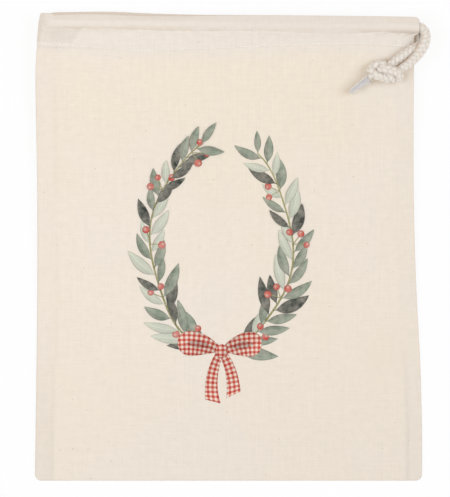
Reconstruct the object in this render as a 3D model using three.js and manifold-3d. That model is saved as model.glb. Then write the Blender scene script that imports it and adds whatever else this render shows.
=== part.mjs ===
// A flat cotton drawstring bag, lying on its back with its mouth nearly closed.
// Millimetres. X runs to the right across the mouth, Y from the bottom fold to the mouth, Z up out of the front.
// The origin is under the middle of the bag, on the surface that it lies on.

import * as THREE from 'three';
import { mergeVertices } from 'three/addons/utils/BufferGeometryUtils.js';
import Module from 'manifold-3d';

const wasm = await Module();
wasm.setup();

// Driving dimensions

const BAG_HEIGHT = 302.1; // bottom fold to the highest point of the mouth
const BOTTOM_WIDTH = 250.4; // across the bottom fold
const MOUTH_DIP = 2.8; // how much lower the mouth is at its right end than at its left
const CORNER_RADIUS = 4.3; // of the two bottom corners, seen from above
const CLOTH = 0.5; // thickness of the calico
const GAP = 0.3; // between cloth faces that touch
const SEAM_ALLOWANCE = 11; // cloth turned inside each side seam
const CASING_DEPTH = 20.5; // mouth edge to the casing's stitching
const CASING_OVERHANG = 2.9; // how far the casing's open end stands past the right side seam
const CASING_CHAMFER = 2.2; // the turned corner at that open end
const FOLD_RADIUS = 1.2; // of the folded edge along the mouth
const MOUTH_CORNER = 0.9; // how far the mouth's left corner is cut in from the side seam
const CORD = 5.6; // diameter of the braided cord
const CORD_EASE = 0.4; // between the cord and the casing's cloth
const CORD_BELOW_MOUTH = 6.2; // cord centre below the mouth edge
const CORD_HANDOVER = 3.5; // how far inside the casing's end the loose strands begin
const MOUTH_GAP = 5.8; // between the two casings
const STITCHING_DROP = 1.35; // front cloth at the stitching, below the cord's centre
const EDGE_ROLL = 24; // width over which the cloth curves down to each side seam
const SLOPE_POWER = 2.2; // how late the bag's thickness grows from the bottom to the mouth
const KNOT_CLEARANCE = 0.3; // between the knot and the cloth under it
const AGLET_LENGTH = 15;
const AGLET_WIDTH = 4.5;
const AGLET_WALL = 0.5;

// How far each side edge stands in from the bottom fold's end: share of the way up to the stitching, and the distance
const LEFT_DRAWN_IN = [[0, 0], [0.2, 0.8], [0.45, 1.6], [0.7, 1.4], [0.92, 0.85], [1, 2]];
const RIGHT_DRAWN_IN = [[0, 0], [0.12, 0.1], [0.27, 1.2], [0.43, 3.6], [0.6, 5.2], [0.78, 5.7], [1, 5.3]];

// Facets

const ROWS_UP = 16; // of a panel or seam allowance, from the bottom corners to the stitching
const CORD_SIDES = 10;
const CASING_SIDES = 18;

// Sizes that follow from those

const bottomY = -BAG_HEIGHT / 2;
const halfCloth = CLOTH / 2;
const casingInner = CORD / 2 + CORD_EASE;
const casingOuter = casingInner + CLOTH;
const backCordZ = casingOuter;
const bendRadius = casingOuter + MOUTH_GAP / 2;
const frontCordZ = backCordZ + 2 * bendRadius;
const seamTopZ = backCordZ + bendRadius;
const plyOffset = CLOTH + GAP + halfCloth; // panel's middle surface from the seam's middle plane
const edgeRadius = plyOffset - GAP / 2; // of the panel's middle surface where it turns to meet the seam
const seamBottomZ = halfCloth + plyOffset;
const frontTopZ = frontCordZ - STITCHING_DROP;

const clamp01 = (t) => Math.min(1, Math.max(0, t));

// A smooth line through places [x, height], read at x
function through(places, x) {
  const k = Math.max(0, places.findLastIndex((place, i) => i < places.length - 1 && place[0] <= x));
  const slopeAt = (i) => {
    const [a, b] = [places[Math.max(0, i - 1)], places[Math.min(places.length - 1, i + 1)]];
    return (b[1] - a[1]) / (b[0] - a[0]);
  };
  const [from, to] = [places[k], places[k + 1]];
  const step = to[0] - from[0];
  const t = (x - from[0]) / step;
  const value = (2 * t ** 3 - 3 * t ** 2 + 1) * from[1] + (3 * t ** 2 - 2 * t ** 3) * to[1];
  return value + step * ((t ** 3 - 2 * t ** 2 + t) * slopeAt(k) + (t ** 3 - t ** 2) * slopeAt(k + 1));
}

// Outline of the bag, seen from above

const rise = (y) => clamp01((y - bottomY) / (BAG_HEIGHT - CASING_DEPTH));
const leftEdge = (y) => -BOTTOM_WIDTH / 2 + through(LEFT_DRAWN_IN, rise(y));
const rightEdge = (y) => BOTTOM_WIDTH / 2 - through(RIGHT_DRAWN_IN, rise(y));
const mouthLeft = leftEdge(BAG_HEIGHT / 2);
const mouthRight = rightEdge(BAG_HEIGHT / 2);
const casingEnd = mouthRight + CASING_OVERHANG;
const mouthY = (x) => BAG_HEIGHT / 2 - MOUTH_DIP * clamp01((x - mouthLeft) / (casingEnd - mouthLeft));
const stitchY = (x) => mouthY(x) - CASING_DEPTH;
const panelTopY = (x) => stitchY(x) - CLOTH - GAP;

// The side seam's height, and how far the front cloth stands above it and the back cloth below it

const thickness = (y) => rise(y) ** SLOPE_POWER;
const seamZ = (y) => seamBottomZ + (seamTopZ - seamBottomZ) * thickness(y);
const frontCrown = (y) => (frontTopZ - seamTopZ - plyOffset) * thickness(y);
const backFall = (y) => seamZ(y) - seamBottomZ;

// Distance of a point of a panel's middle surface from that surface's edge, and the way out to it

function edgeDistance(x, y) {
  const inset = CORNER_RADIUS - halfCloth;
  const left = x - leftEdge(y) - halfCloth;
  const right = rightEdge(y) - halfCloth - x;
  const side = Math.min(left, right);
  const sign = left < right ? -1 : 1;
  const up = y - bottomY - halfCloth;
  if (side < inset && up < inset) {
    const away = new THREE.Vector2(sign * (inset - side), up - inset);
    const reach = away.length();
    return { d: Math.max(0, inset - reach), out: away.normalize() };
  }
  if (up < side) return { d: Math.max(0, up), out: new THREE.Vector2(0, -1) };
  return { d: Math.max(0, side), out: new THREE.Vector2(sign, 0) };
}

// A point of a panel's middle surface with its outward normal; facing is 1 for the front and -1 for the back

function panelPoint(x, y, facing) {
  const { d, out } = edgeDistance(x, y);
  const turn = Math.acos(1 - Math.min(1, d / edgeRadius));
  const spread = clamp01((d - edgeRadius) / EDGE_ROLL);
  const swell = facing > 0 ? frontCrown(y) : backFall(y);
  const height = GAP / 2 + edgeRadius * Math.sin(turn) + swell * (1 - (1 - spread) ** 2);
  const slope = d > edgeRadius ? (2 * swell * (1 - spread)) / EDGE_ROLL : 0;
  const lean = Math.cos(turn) + slope * Math.sin(turn);
  const normal = new THREE.Vector3(out.x * lean, out.y * lean, facing * Math.sin(turn)).normalize();
  return { p: new THREE.Vector3(x, y, seamZ(y) + facing * height), n: normal };
}

// Solids from grids and rings of points

function geometryOf(points, triangles) {
  const geometry = new THREE.BufferGeometry();
  const flat = points.flatMap((p) => [p.x, p.y, p.z]);
  geometry.setAttribute('position', new THREE.Float32BufferAttribute(flat, 3));
  geometry.setIndex(triangles);
  geometry.computeVertexNormals();
  return geometry;
}

// Joins neighbouring rows of point numbers with triangles; around says that each row closes on itself
function stitchRows(rows, around, triangles) {
  for (let i = 0; i + 1 < rows.length; i++) {
    const n = rows[i].length;
    for (let j = 0; j < (around ? n : n - 1); j++) {
      const k = (j + 1) % n;
      triangles.push(rows[i][j], rows[i][k], rows[i + 1][k]);
      triangles.push(rows[i][j], rows[i + 1][k], rows[i + 1][j]);
    }
  }
}

// A closed sheet: grid[i][j] = { p, n } on its middle surface, its normals facing the same side throughout
function sheet(grid, thick) {
  const points = [];
  const numbered = (side) =>
    grid.map((row) =>
      row.map(({ p, n }) => points.push(p.clone().addScaledVector(n, (side * thick) / 2)) - 1)
    );
  const face = numbered(1);
  const lining = numbered(-1);
  const triangles = [];
  stitchRows(face, false, triangles);
  stitchRows(lining.map((row) => [...row].reverse()), false, triangles);
  const border = (ids) => [
    ...ids[0],
    ...ids.slice(1).map((row) => row.at(-1)),
    ...[...ids.at(-1)].reverse().slice(1),
    ...ids.slice(1, -1).map((row) => row[0]).reverse(),
  ];
  stitchRows([border(lining), border(face)], true, triangles);
  return geometryOf(points, triangles);
}

// A closed tube wall: matching outer and inner rings, open along its length
function tubeWall(outerRings, innerRings) {
  const points = [];
  const number = (rings) => rings.map((ring) => ring.map((p) => points.push(p) - 1));
  const outer = number(outerRings);
  const inner = number(innerRings);
  const triangles = [];
  stitchRows([...outer, ...inner.reverse(), outer[0]], true, triangles);
  return geometryOf(points, triangles);
}

// A closed solid through rings of points, each end capped from its middle
function loft(rings) {
  const points = [];
  const ids = rings.map((ring) => ring.map((p) => points.push(p.clone()) - 1));
  const triangles = [];
  stitchRows(ids, true, triangles);
  const cap = (row) => {
    const middle = new THREE.Vector3();
    row.forEach((id) => middle.addScaledVector(points[id], 1 / row.length));
    const hub = points.push(middle) - 1;
    row.forEach((id, j) => triangles.push(hub, row[(j + 1) % row.length], id));
  };
  cap(ids[0]);
  cap([...ids.at(-1)].reverse());
  return geometryOf(points, triangles);
}

// A regular outline with as many sides as asked
function roundShape(diameter, sides) {
  const corner = (k) => {
    const a = (2 * Math.PI * k) / sides;
    return new THREE.Vector2(Math.cos(a), Math.sin(a)).multiplyScalar(diameter / 2);
  };
  return new THREE.Shape([...Array(sides)].map((_, k) => corner(k)));
}

// A round cord along a curve
function cordAlong(curve, steps, sides = CORD_SIDES, diameter = CORD) {
  return new THREE.ExtrudeGeometry(roundShape(diameter, sides), { steps, extrudePath: curve });
}

// Boolean work

function solidOf(geometry) {
  const bare = geometry.clone();
  bare.deleteAttribute('normal');
  bare.deleteAttribute('uv');
  const merged = mergeVertices(bare, 1e-3);
  const vertProperties = new Float32Array(merged.attributes.position.array);
  const triVerts = new Uint32Array(merged.index.array);
  return new wasm.Manifold(new wasm.Mesh({ numProp: 3, vertProperties, triVerts }));
}

function geometryFrom(solid) {
  const mesh = solid.getMesh();
  const geometry = new THREE.BufferGeometry();
  geometry.setAttribute('position', new THREE.BufferAttribute(mesh.vertProperties, 3));
  geometry.setIndex(new THREE.BufferAttribute(mesh.triVerts, 1));
  geometry.computeVertexNormals();
  return geometry;
}

const joined = (...parts) => geometryFrom(parts.map(solidOf).reduce((a, b) => a.add(b)));

// The two panels, which are one strip of cloth folded at the bottom

const rollTurns = [0, 1, 2, 3].map((k) => edgeRadius * (1 - Math.cos((k * Math.PI) / 6)));

function distancesFromEdge(far, stepsIn, stepsOn) {
  const wide = [...Array(stepsIn)].map((_, k) => edgeRadius + EDGE_ROLL * ((k + 1) / stepsIn) ** 1.5);
  const reach = wide.at(-1);
  const middle = [...Array(stepsOn)].map((_, k) => reach + ((far - reach) * (k + 1)) / (stepsOn + 1));
  return [...rollTurns, ...wide, ...middle];
}

function panel(facing) {
  const inset = CORNER_RADIUS - halfCloth;
  const low = bottomY + halfCloth;
  const cornerRows = [...rollTurns, 0.45 * inset, 0.7 * inset, inset];
  const grid = [];
  const addRow = (yAt) => {
    const y0 = yAt(0);
    const up = Math.min(inset, y0 - low);
    const cut = inset - Math.sqrt(inset ** 2 - (inset - up) ** 2);
    const left = leftEdge(y0) + halfCloth + cut;
    const right = rightEdge(y0) - halfCloth - cut;
    const half = distancesFromEdge((right - left) / 2, 4, 2);
    const xs = [...half.map((d) => left + d), (left + right) / 2, ...half.map((d) => right - d).reverse()];
    grid.push(xs.map((x) => panelPoint(x, yAt(x), facing)));
  };
  cornerRows.forEach((up) => addRow(() => low + up));
  const start = low + inset;
  for (let k = 1; k <= ROWS_UP; k++) {
    const share = k / ROWS_UP;
    addRow((x) => start + (panelTopY(x) - start) * share);
  }
  if (facing < 0) grid.reverse();
  return sheet(grid, CLOTH);
}

// A side seam: the two allowances sewn together, lying between the panels

function sideSeam(side) {
  const low = bottomY + CORNER_RADIUS;
  const grid = [];
  for (let k = 0; k <= ROWS_UP; k++) {
    const y = low + ((panelTopY(side * mouthRight) - low) * k) / ROWS_UP;
    const edge = side < 0 ? leftEdge(y) : rightEdge(y);
    const outer = edge - side * (CLOTH + 2 * GAP);
    const inner = outer - side * SEAM_ALLOWANCE;
    const [a, b] = side < 0 ? [outer, inner] : [inner, outer];
    const at = (x) => ({ p: new THREE.Vector3(x, y, seamZ(y)), n: new THREE.Vector3(0, 0, 1) });
    grid.push([at(a), at((a + b) / 2), at(b)]);
  }
  return sheet(grid, 2 * CLOTH);
}

// The casings: each is a tube of cloth round the cord, from its open right end to the left side seam, where it
// turns with the cord to meet the other casing

const bendX = mouthLeft + casingOuter + bendRadius;
const exitStart = mouthRight - halfCloth - edgeRadius - EDGE_ROLL;

// Lowest casing edge beside a side seam, set in from the panel so that both have one outer face
function casingFoot(side, d, facing) {
  const edge = side < 0 ? mouthLeft + halfCloth + d : mouthRight - halfCloth - d;
  const y = stitchY(edge);
  const { p, n } = panelPoint(edge, y, facing);
  const flat = new THREE.Vector3(n.x, 0, n.z).normalize();
  return { at: p.addScaledVector(flat, -halfCloth).setY(y), out: flat };
}

function casingStations(facing) {
  const cordZ = facing > 0 ? frontCordZ : backCordZ;
  const across = new THREE.Vector3(0, 0, facing);
  const stations = [];
  const add = (x, z, out, foot, { chamfer = 0, squared = 0 } = {}) => {
    const cord = new THREE.Vector3(x, mouthY(x) - CORD_BELOW_MOUTH, z);
    const fold = new THREE.Vector3(x - chamfer, mouthY(x) - FOLD_RADIUS, z).addScaledVector(out, squared);
    stations.push({ cord, fold, out, foot });
  };
  const openSteps = 6;
  for (let k = openSteps; k > 0; k--) {
    const s = k / openSteps;
    const foot = casingFoot(1, (EDGE_ROLL + edgeRadius) * (1 - s), facing);
    const x = exitStart + (casingEnd - exitStart) * s;
    add(x, cordZ, across, foot, { chamfer: k === openSteps ? CASING_CHAMFER : 0 });
  }
  const straightSteps = 8;
  const endOfRoll = mouthLeft + halfCloth + edgeRadius + EDGE_ROLL;
  for (let k = 0; k <= straightSteps; k++) {
    const x = exitStart + ((endOfRoll - exitStart) * k) / straightSteps;
    add(x, cordZ, across, casingFoot(-1, x - mouthLeft - halfCloth, facing));
  }
  const toBend = 2;
  for (let k = 1; k <= toBend; k++) {
    const x = endOfRoll + ((bendX - endOfRoll) * k) / toBend;
    add(x, cordZ, across, casingFoot(-1, x - mouthLeft - halfCloth, facing));
  }
  const bendSteps = 6;
  const lastTurn = Math.acos(GAP / 2 / bendRadius);
  for (let k = 1; k <= bendSteps; k++) {
    const a = (lastTurn * k) / bendSteps;
    const out = new THREE.Vector3(-Math.sin(a), 0, facing * Math.cos(a));
    const x = bendX - bendRadius * Math.sin(a);
    const z = seamTopZ + facing * bendRadius * Math.cos(a);
    const reach = (bendX - mouthLeft - halfCloth) * (1 - Math.sin((Math.PI / 2) * (k / bendSteps)));
    const squared = (casingOuter - FOLD_RADIUS - MOUTH_CORNER) * Math.sin(a);
    add(x, z, out, casingFoot(-1, reach, facing), { squared });
  }
  return stations;
}

// The taut outline round the cord, the folded edge and the stitching at one station, drawn in by inset
function casingRing({ cord, fold, out, foot }, inset) {
  const up = new THREE.Vector3(0, 1, 0);
  const footOffset = foot.at.clone().sub(cord).dot(out);
  const circles = [
    { centre: cord, out, r: casingOuter - inset, y: cord.y, w: 0 },
    { centre: fold, out, r: FOLD_RADIUS - inset, y: fold.y, w: 0 },
    { centre: foot.at, out: foot.out, r: CLOTH * 1.02 - inset, y: foot.at.y, w: footOffset },
  ];
  const ring = [];
  for (let k = 0; k < CASING_SIDES; k++) {
    const a = (2 * Math.PI * (k + 0.5)) / CASING_SIDES;
    const [c, s] = [Math.cos(a), Math.sin(a)];
    const reach = (q) => q.y * c + q.w * s + q.r;
    const best = circles.reduce((p, q) => (reach(q) > reach(p) ? q : p));
    ring.push(best.centre.clone().addScaledVector(up, best.r * c).addScaledVector(best.out, best.r * s));
  }
  return ring;
}

function casing(facing) {
  const stations = casingStations(facing);
  const outer = stations.map((s) => casingRing(s, 0));
  const inner = stations.map((s) => casingRing(s, CLOTH));
  if (facing > 0) [outer, inner].forEach((rings) => rings.forEach((ring) => ring.reverse()));
  return tubeWall(outer, inner);
}

// The cord inside the casings, one length that turns back on itself at the left side seam

function casingCord() {
  const ringAt = ({ cord, out }) => {
    const ring = [];
    for (let k = 0; k < CORD_SIDES; k++) {
      const a = (2 * Math.PI * k) / CORD_SIDES;
      const up = new THREE.Vector3(0, 1, 0).multiplyScalar((CORD / 2) * Math.cos(a));
      ring.push(cord.clone().add(up).addScaledVector(out, (-CORD / 2) * Math.sin(a)));
    }
    return ring;
  };
  const inside = (stations) => {
    const kept = stations.slice(1);
    const { cord, out } = stations[0];
    const end = cord.clone().setX(cord.x - CORD_HANDOVER - GAP);
    return [{ cord: end, out }, ...kept];
  };
  const front = inside(casingStations(1));
  const back = inside(casingStations(-1)).reverse();
  return loft([...front, ...back].map(ringAt));
}

// The pull: two strands that leave the open casing ends, side by side to a knot on the front of the bag

const exitPoint = (facing) => casingStations(facing)[0].cord;
const frontExit = exitPoint(1);
const backExit = exitPoint(-1);

// Offsets from the front strand's exit
const FRONT_STRAND = [
  [-CORD_HANDOVER, 0, 0], [-1.3, 0, 0], [0.7, -0.35, 0], [2.7, -1.9, 0.1], [4.0, -4.6, 0.6], [4.1, -7.8, 1.6],
  [2.7, -12.4, 3.1], [-1.4, -18.7, 3.3], [-6.3, -23.7, 2.9], [-11.0, -27.0, 2.6],
];
// Offsets from the back strand's exit
const BACK_STRAND = [
  [-CORD_HANDOVER, 0, 0], [-1.3, 0, 0], [0.7, -0.5, 0.05], [2.3, -2.3, 0.5], [3.2, -4.9, 1.8], [3.2, -7.6, 4.2],
  [2.4, -10.3, 7.7], [-0.5, -12.6, 11.0], [-4.5, -14.6, 13.2], [-8.8, -17.4, 14.3], [-12.8, -20.2, 14.9],
  [-15.5, -22.2, 15.2],
];

function strand(start, offsets) {
  const route = offsets.map(([x, y, z]) => new THREE.Vector3(x, y, z).add(start));
  return cordAlong(new THREE.CatmullRomCurve3(route), 16);
}

// The knot's middle, from the front strand's exit
const KNOT_FROM_EXIT = [-21.9, -29.2];
const knotX = frontExit.x + KNOT_FROM_EXIT[0];
const knotY = frontExit.y + KNOT_FROM_EXIT[1];
const clothUnderKnot = panelPoint(knotX, knotY, 1).p.z + halfCloth;
const knotBase = clothUnderKnot + KNOT_CLEARANCE;

// Lengths of cord in the knot, as offsets from a point on the cloth under its middle
const KNOT_TURNS = [
  [[10.5, 1.9, 5.4], [9.6, 1.3, 5.3], [7.2, 0.3, 5.2], [5.0, -1.6, 5.6], [4.2, -4.1, 5.8], [4.0, -4.9, 3.3]],
  [[5.75, 6.4, 4.8], [5.0, 5.9, 4.7], [3.2, 3.9, 4.5], [0.8, 3.2, 4.5], [-2.2, 4.7, 5.4], [-5.4, 4.5, 5.8],
    [-8.0, 2.4, 4.8], [-8.2, -0.6, 3.6], [-6.8, -3.4, 3.1]],
  [[-3.8, 1.3, 5.4], [-2.5, 1.9, 8.2], [1.2, 1.2, 9.8], [5.4, 0.1, 9.4], [8.3, -1.8, 7.6], [8.8, -4.2, 5.2],
    [7.6, -5.0, 3.2]],
  [[4.4, -4.6, 3.2], [1.4, -4.7, 5.4], [-2.4, -3.7, 7.4], [-6.4, -2.0, 7.8], [-9.3, 0.8, 6.6], [-8.8, 3.2, 4.4]],
  [[-6.6, 0.2, 3.8], [-2.6, -1.2, 5.2], [1.5, -2.0, 5.6], [5.0, -1.6, 4.6]],
];
const KNOT_STEPS = 10;
const KNOT_SIDES = 8;

// The two ends of the cord run on from the knot, each gripped along its length by a clear sleeve
const TAIL = AGLET_WIDTH - 2 * (AGLET_WALL + GAP);
const TAIL_HEADING = [-0.784, -0.621];
const TAIL_SETBACK = 5; // from the sleeve's root back into the knot
const UPPER_SLEEVE = { root: [-11.2, -4.3, 7.7], droop: -0.07 };
const LOWER_SLEEVE = { root: [-10.4, -5.6, 2.9], droop: -0.08 };

function overKnot([x, y, z]) {
  return new THREE.Vector3(knotX + x, knotY + y, knotBase + z);
}

function tailHeading({ droop }) {
  return new THREE.Vector3(...TAIL_HEADING, droop).normalize();
}

function tail(sleeve) {
  const along = tailHeading(sleeve);
  const root = overKnot(sleeve.root);
  const from = root.clone().addScaledVector(along, -TAIL_SETBACK);
  const to = root.clone().addScaledVector(along, AGLET_LENGTH - 2 * AGLET_WALL);
  return cordAlong(new THREE.LineCurve3(from, to), 1, KNOT_SIDES, TAIL);
}

function knot() {
  const turns = KNOT_TURNS.map((offsets) => {
    return cordAlong(new THREE.CatmullRomCurve3(offsets.map(overKnot)), KNOT_STEPS, KNOT_SIDES);
  });
  return joined(...turns, tail(UPPER_SLEEVE), tail(LOWER_SLEEVE));
}

function aglet(sleeve) {
  const root = overKnot(sleeve.root);
  const tip = root.clone().addScaledVector(tailHeading(sleeve), AGLET_LENGTH);
  const section = roundShape(AGLET_WIDTH, 12);
  section.holes.push(new THREE.Path(roundShape(AGLET_WIDTH - 2 * AGLET_WALL, 12).getPoints()));
  return new THREE.ExtrudeGeometry(section, { steps: 1, extrudePath: new THREE.LineCurve3(root, tip) });
}

// Finishes

const cloth = () => new THREE.MeshStandardMaterial({ color: 0xf0e5d6, roughness: 0.95, metalness: 0 });
const cotton = () => new THREE.MeshStandardMaterial({ color: 0xe6ddd0, roughness: 0.95, metalness: 0 });
const clear = () =>
  new THREE.MeshStandardMaterial({
    color: 0xe4e8ee, roughness: 0.25, metalness: 0, transparent: true, opacity: 0.6,
  });

function named(name, geometry, material) {
  const mesh = new THREE.Mesh(geometry, material);
  mesh.name = name;
  return mesh;
}

const bag = new THREE.Group();
bag.add(
  named('front_panel', panel(1), cloth()),
  named('back_panel', panel(-1), cloth()),
  named('left_side_seam', sideSeam(-1), cloth()),
  named('right_side_seam', sideSeam(1), cloth()),
  named('front_casing', casing(1), cloth()),
  named('back_casing', casing(-1), cloth())
);

const drawcord = new THREE.Group();
drawcord.add(
  named('casing_cord', casingCord(), cotton()),
  named('front_strand', strand(frontExit, FRONT_STRAND), cotton()),
  named('back_strand', strand(backExit, BACK_STRAND), cotton()),
  named('knot', knot(), cotton()),
  named('upper_aglet', aglet(UPPER_SLEEVE), clear()),
  named('lower_aglet', aglet(LOWER_SLEEVE), clear())
);

const product = new THREE.Group();
product.add(bag, drawcord);

export default product;
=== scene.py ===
"""Looks of a flat cotton drawstring bag that lies on its back with its mouth nearly closed.

Metres, in the frame's axes: X runs across the mouth, Y from the bottom fold to the mouth, and Z up
out of the front.
"""

import math

import bpy
import numpy as np
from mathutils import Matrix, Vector


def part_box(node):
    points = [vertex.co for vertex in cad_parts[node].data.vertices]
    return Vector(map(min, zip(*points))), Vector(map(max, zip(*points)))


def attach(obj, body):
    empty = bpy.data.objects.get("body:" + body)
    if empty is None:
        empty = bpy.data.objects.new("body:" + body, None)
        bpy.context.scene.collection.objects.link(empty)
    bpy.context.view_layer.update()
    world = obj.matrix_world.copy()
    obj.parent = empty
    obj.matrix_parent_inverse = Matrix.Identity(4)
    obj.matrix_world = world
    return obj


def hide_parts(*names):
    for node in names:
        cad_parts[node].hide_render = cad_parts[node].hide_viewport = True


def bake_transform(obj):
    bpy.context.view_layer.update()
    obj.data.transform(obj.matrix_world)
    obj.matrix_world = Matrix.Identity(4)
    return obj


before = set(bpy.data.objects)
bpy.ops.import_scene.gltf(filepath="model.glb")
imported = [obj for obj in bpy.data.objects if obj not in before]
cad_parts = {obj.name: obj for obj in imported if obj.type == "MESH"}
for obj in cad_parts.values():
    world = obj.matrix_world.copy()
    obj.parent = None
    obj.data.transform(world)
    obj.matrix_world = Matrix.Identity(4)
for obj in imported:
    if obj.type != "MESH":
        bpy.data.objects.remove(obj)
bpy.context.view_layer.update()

# Sizes of the bag's solids, read from the frame where a box gives them

PANEL_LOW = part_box("front_panel")[0]
CASING_LOW, CASING_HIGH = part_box("front_casing")
BOTTOM_Y = PANEL_LOW.y
BAG_HEIGHT = -2 * BOTTOM_Y
BOTTOM_WIDTH = 0.2504
MOUTH_LEFT, CASING_END = CASING_LOW.x, CASING_HIGH.x
CASING_OVERHANG = 0.0029
MOUTH_RIGHT = CASING_END - CASING_OVERHANG
MOUTH_DIP = 0.0028
CORNER_RADIUS = 0.0043
CLOTH = 0.0005
HALF = CLOTH / 2
GAP = 0.0003
SEAM_ALLOWANCE = 0.011
CASING_DEPTH = 0.0205
FOLD_RADIUS = 0.0012
MOUTH_CORNER = 0.0009
CORD = 0.0056
CORD_EASE = 0.0004
CORD_BELOW_MOUTH = 0.0062
CORD_HANDOVER = 0.0035
MOUTH_GAP = 0.0058
STITCHING_DROP = 0.00135
# The width over which a panel curves down to a side seam, and how late the bag grows thicker upwards
EDGE_ROLL = 0.024
SLOPE_POWER = 2.2

CASING_OUTER = CORD / 2 + CORD_EASE + CLOTH
BACK_CORD_Z = CASING_OUTER
BEND_RADIUS = CASING_OUTER + MOUTH_GAP / 2
FRONT_CORD_Z = BACK_CORD_Z + 2 * BEND_RADIUS
SEAM_TOP_Z = BACK_CORD_Z + BEND_RADIUS
PLY_OFFSET = CLOTH + GAP + HALF
EDGE_RADIUS = PLY_OFFSET - GAP / 2
SEAM_BOTTOM_Z = HALF + PLY_OFFSET
FRONT_TOP_Z = FRONT_CORD_Z - STITCHING_DROP
BEND_X = MOUTH_LEFT + CASING_OUTER + BEND_RADIUS
ROLL = EDGE_RADIUS + EDGE_ROLL
INSET = CORNER_RADIUS - HALF
# How far each side edge stands in from the bottom fold's end, at shares of the way up to the stitching
LEFT_DRAWN_IN = (
    (0, 0), (0.2, 0.0008), (0.45, 0.0016), (0.7, 0.0015), (0.81, 0.001), (0.92, 0.00055), (0.97, 0.00095),
    (1, 0.0016),
)
RIGHT_DRAWN_IN = (
    (0, 0), (0.12, 0.0001), (0.27, 0.0012), (0.43, 0.0036), (0.6, 0.0052), (0.78, 0.0057), (1, 0.0053),
)


def smooth(t):
    t = np.clip(t, 0, 1)
    return t * t * (3 - 2 * t)


def through(places, x):
    """A smooth line through places (x, height), read at x."""
    xs, ys = np.array(places, float).T
    numbers = np.arange(len(xs))
    before, after = np.maximum(numbers - 1, 0), np.minimum(numbers + 1, len(xs) - 1)
    slopes = (ys[after] - ys[before]) / (xs[after] - xs[before])
    k = np.clip(np.searchsorted(xs, x, side="right") - 1, 0, len(xs) - 2)
    step = xs[k + 1] - xs[k]
    t = np.clip((x - xs[k]) / step, 0, 1)
    line = (2 * t**3 - 3 * t**2 + 1) * ys[k] + (3 * t**2 - 2 * t**3) * ys[k + 1]
    return line + step * ((t**3 - 2 * t**2 + t) * slopes[k] + (t**3 - t**2) * slopes[k + 1])


def rise(y):
    return np.clip((y - BOTTOM_Y) / (BAG_HEIGHT - CASING_DEPTH), 0, 1)


def left_edge(y):
    return -BOTTOM_WIDTH / 2 + through(LEFT_DRAWN_IN, rise(y))


def right_edge(y):
    return BOTTOM_WIDTH / 2 - through(RIGHT_DRAWN_IN, rise(y))


def mouth_y(x):
    return -BOTTOM_Y - MOUTH_DIP * np.clip((x - MOUTH_LEFT) / (CASING_END - MOUTH_LEFT), 0, 1)


def seam_z(y):
    return SEAM_BOTTOM_Z + (SEAM_TOP_Z - SEAM_BOTTOM_Z) * rise(y) ** SLOPE_POWER


def edge_distance(x, y):
    """How far a point of a panel's middle surface is from that surface's edge."""
    side = np.minimum(x - left_edge(y), right_edge(y) - x) - HALF
    up = y - BOTTOM_Y - HALF
    in_corner = INSET - np.hypot(INSET - side, INSET - up)
    return np.maximum(np.where((side < INSET) & (up < INSET), in_corner, np.minimum(side, up)), 0)


# Meshes


def mesh_object(name, points, faces, material, floats=None, vectors=None, colours=None):
    mesh = bpy.data.meshes.new(name)
    mesh.from_pydata(np.asarray(points, float).tolist(), [], faces)
    for kind, field, values in (
        ("FLOAT", "value", floats), ("FLOAT_VECTOR", "vector", vectors), ("FLOAT_COLOR", "color", colours)
    ):
        for key, data in (values or {}).items():
            attribute = mesh.attributes.new(key, kind, "POINT")
            attribute.data.foreach_set(field, np.asarray(data, np.float32).ravel())
    mesh.materials.append(material)
    mesh.shade_smooth()
    mesh.update()
    made = bpy.data.objects.new(name, mesh)
    bpy.context.scene.collection.objects.link(made)
    return made


def merged(parts):
    """The points, faces and attributes of several parts as those of one."""
    points, part_faces, *values = zip(*parts)
    starts = np.cumsum([0] + [len(each) for each in points])
    faces = [[k + int(start) for k in face] for start, own in zip(starts, part_faces) for face in own]
    return (np.concatenate(points), faces, *(np.concatenate(each) for each in values))


def numbered(rows, columns):
    return np.arange(rows * columns).reshape(rows, columns)


def quads(ids, closed=False):
    """Faces of a grid of numbered points; closed joins each row's last point to its first."""
    across = np.roll(ids, -1, axis=1) if closed else ids[:, 1:]
    here = ids if closed else ids[:, :-1]
    corners = [here[:-1], across[:-1], across[1:], here[1:]]
    return np.stack([c.ravel() for c in corners], axis=1)


def circles(middle, side, up, sides, radius):
    """Points on circles round the middles, in the planes that side and up span."""
    turn = np.linspace(0, 2 * math.pi, sides, endpoint=False)[:, None]
    return middle + (np.cos(turn) * side + np.sin(turn) * up) * radius[..., None]


def grid_normals(grid):
    normal = np.cross(np.gradient(grid, axis=1), np.gradient(grid, axis=0))
    return normal / np.maximum(np.linalg.norm(normal, axis=2, keepdims=True), 1e-12)


def closed_sheet(grid, thickness, above=0.5):
    """Points and faces of a sheet with a thickness; above is the share of it on the normals' side."""
    normal = grid_normals(grid)
    face = grid + normal * thickness * above
    lining = grid - normal * thickness * (1 - above)
    ids = numbered(*grid.shape[:2])
    top = quads(ids)
    border = np.concatenate([ids[0], ids[1:, -1], ids[-1, -2::-1], ids[-2:0:-1, 0]])
    after = np.roll(border, -1)
    edge = np.stack([border, border + ids.size, after + ids.size, after], axis=1)
    points = np.concatenate([face.reshape(-1, 3), lining.reshape(-1, 3)])
    return points, np.concatenate([top, top[:, ::-1] + ids.size, edge]).tolist()


def doubled(values):
    """An attribute of a grid, repeated for both faces of its sheet."""
    flat = values.reshape(-1, values.shape[-1]) if values.ndim == 3 else values.ravel()
    return np.concatenate([flat, flat])


def waves(t, lengths, seed):
    """A smooth random line with a height of about 1: one sine for each wavelength."""
    rng = np.random.default_rng(seed)
    phases = rng.uniform(0, 2 * math.pi, len(lengths))
    total = sum(np.sin(2 * math.pi * t / size + phase) for size, phase in zip(lengths, phases))
    return total / math.sqrt(len(lengths))


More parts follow.
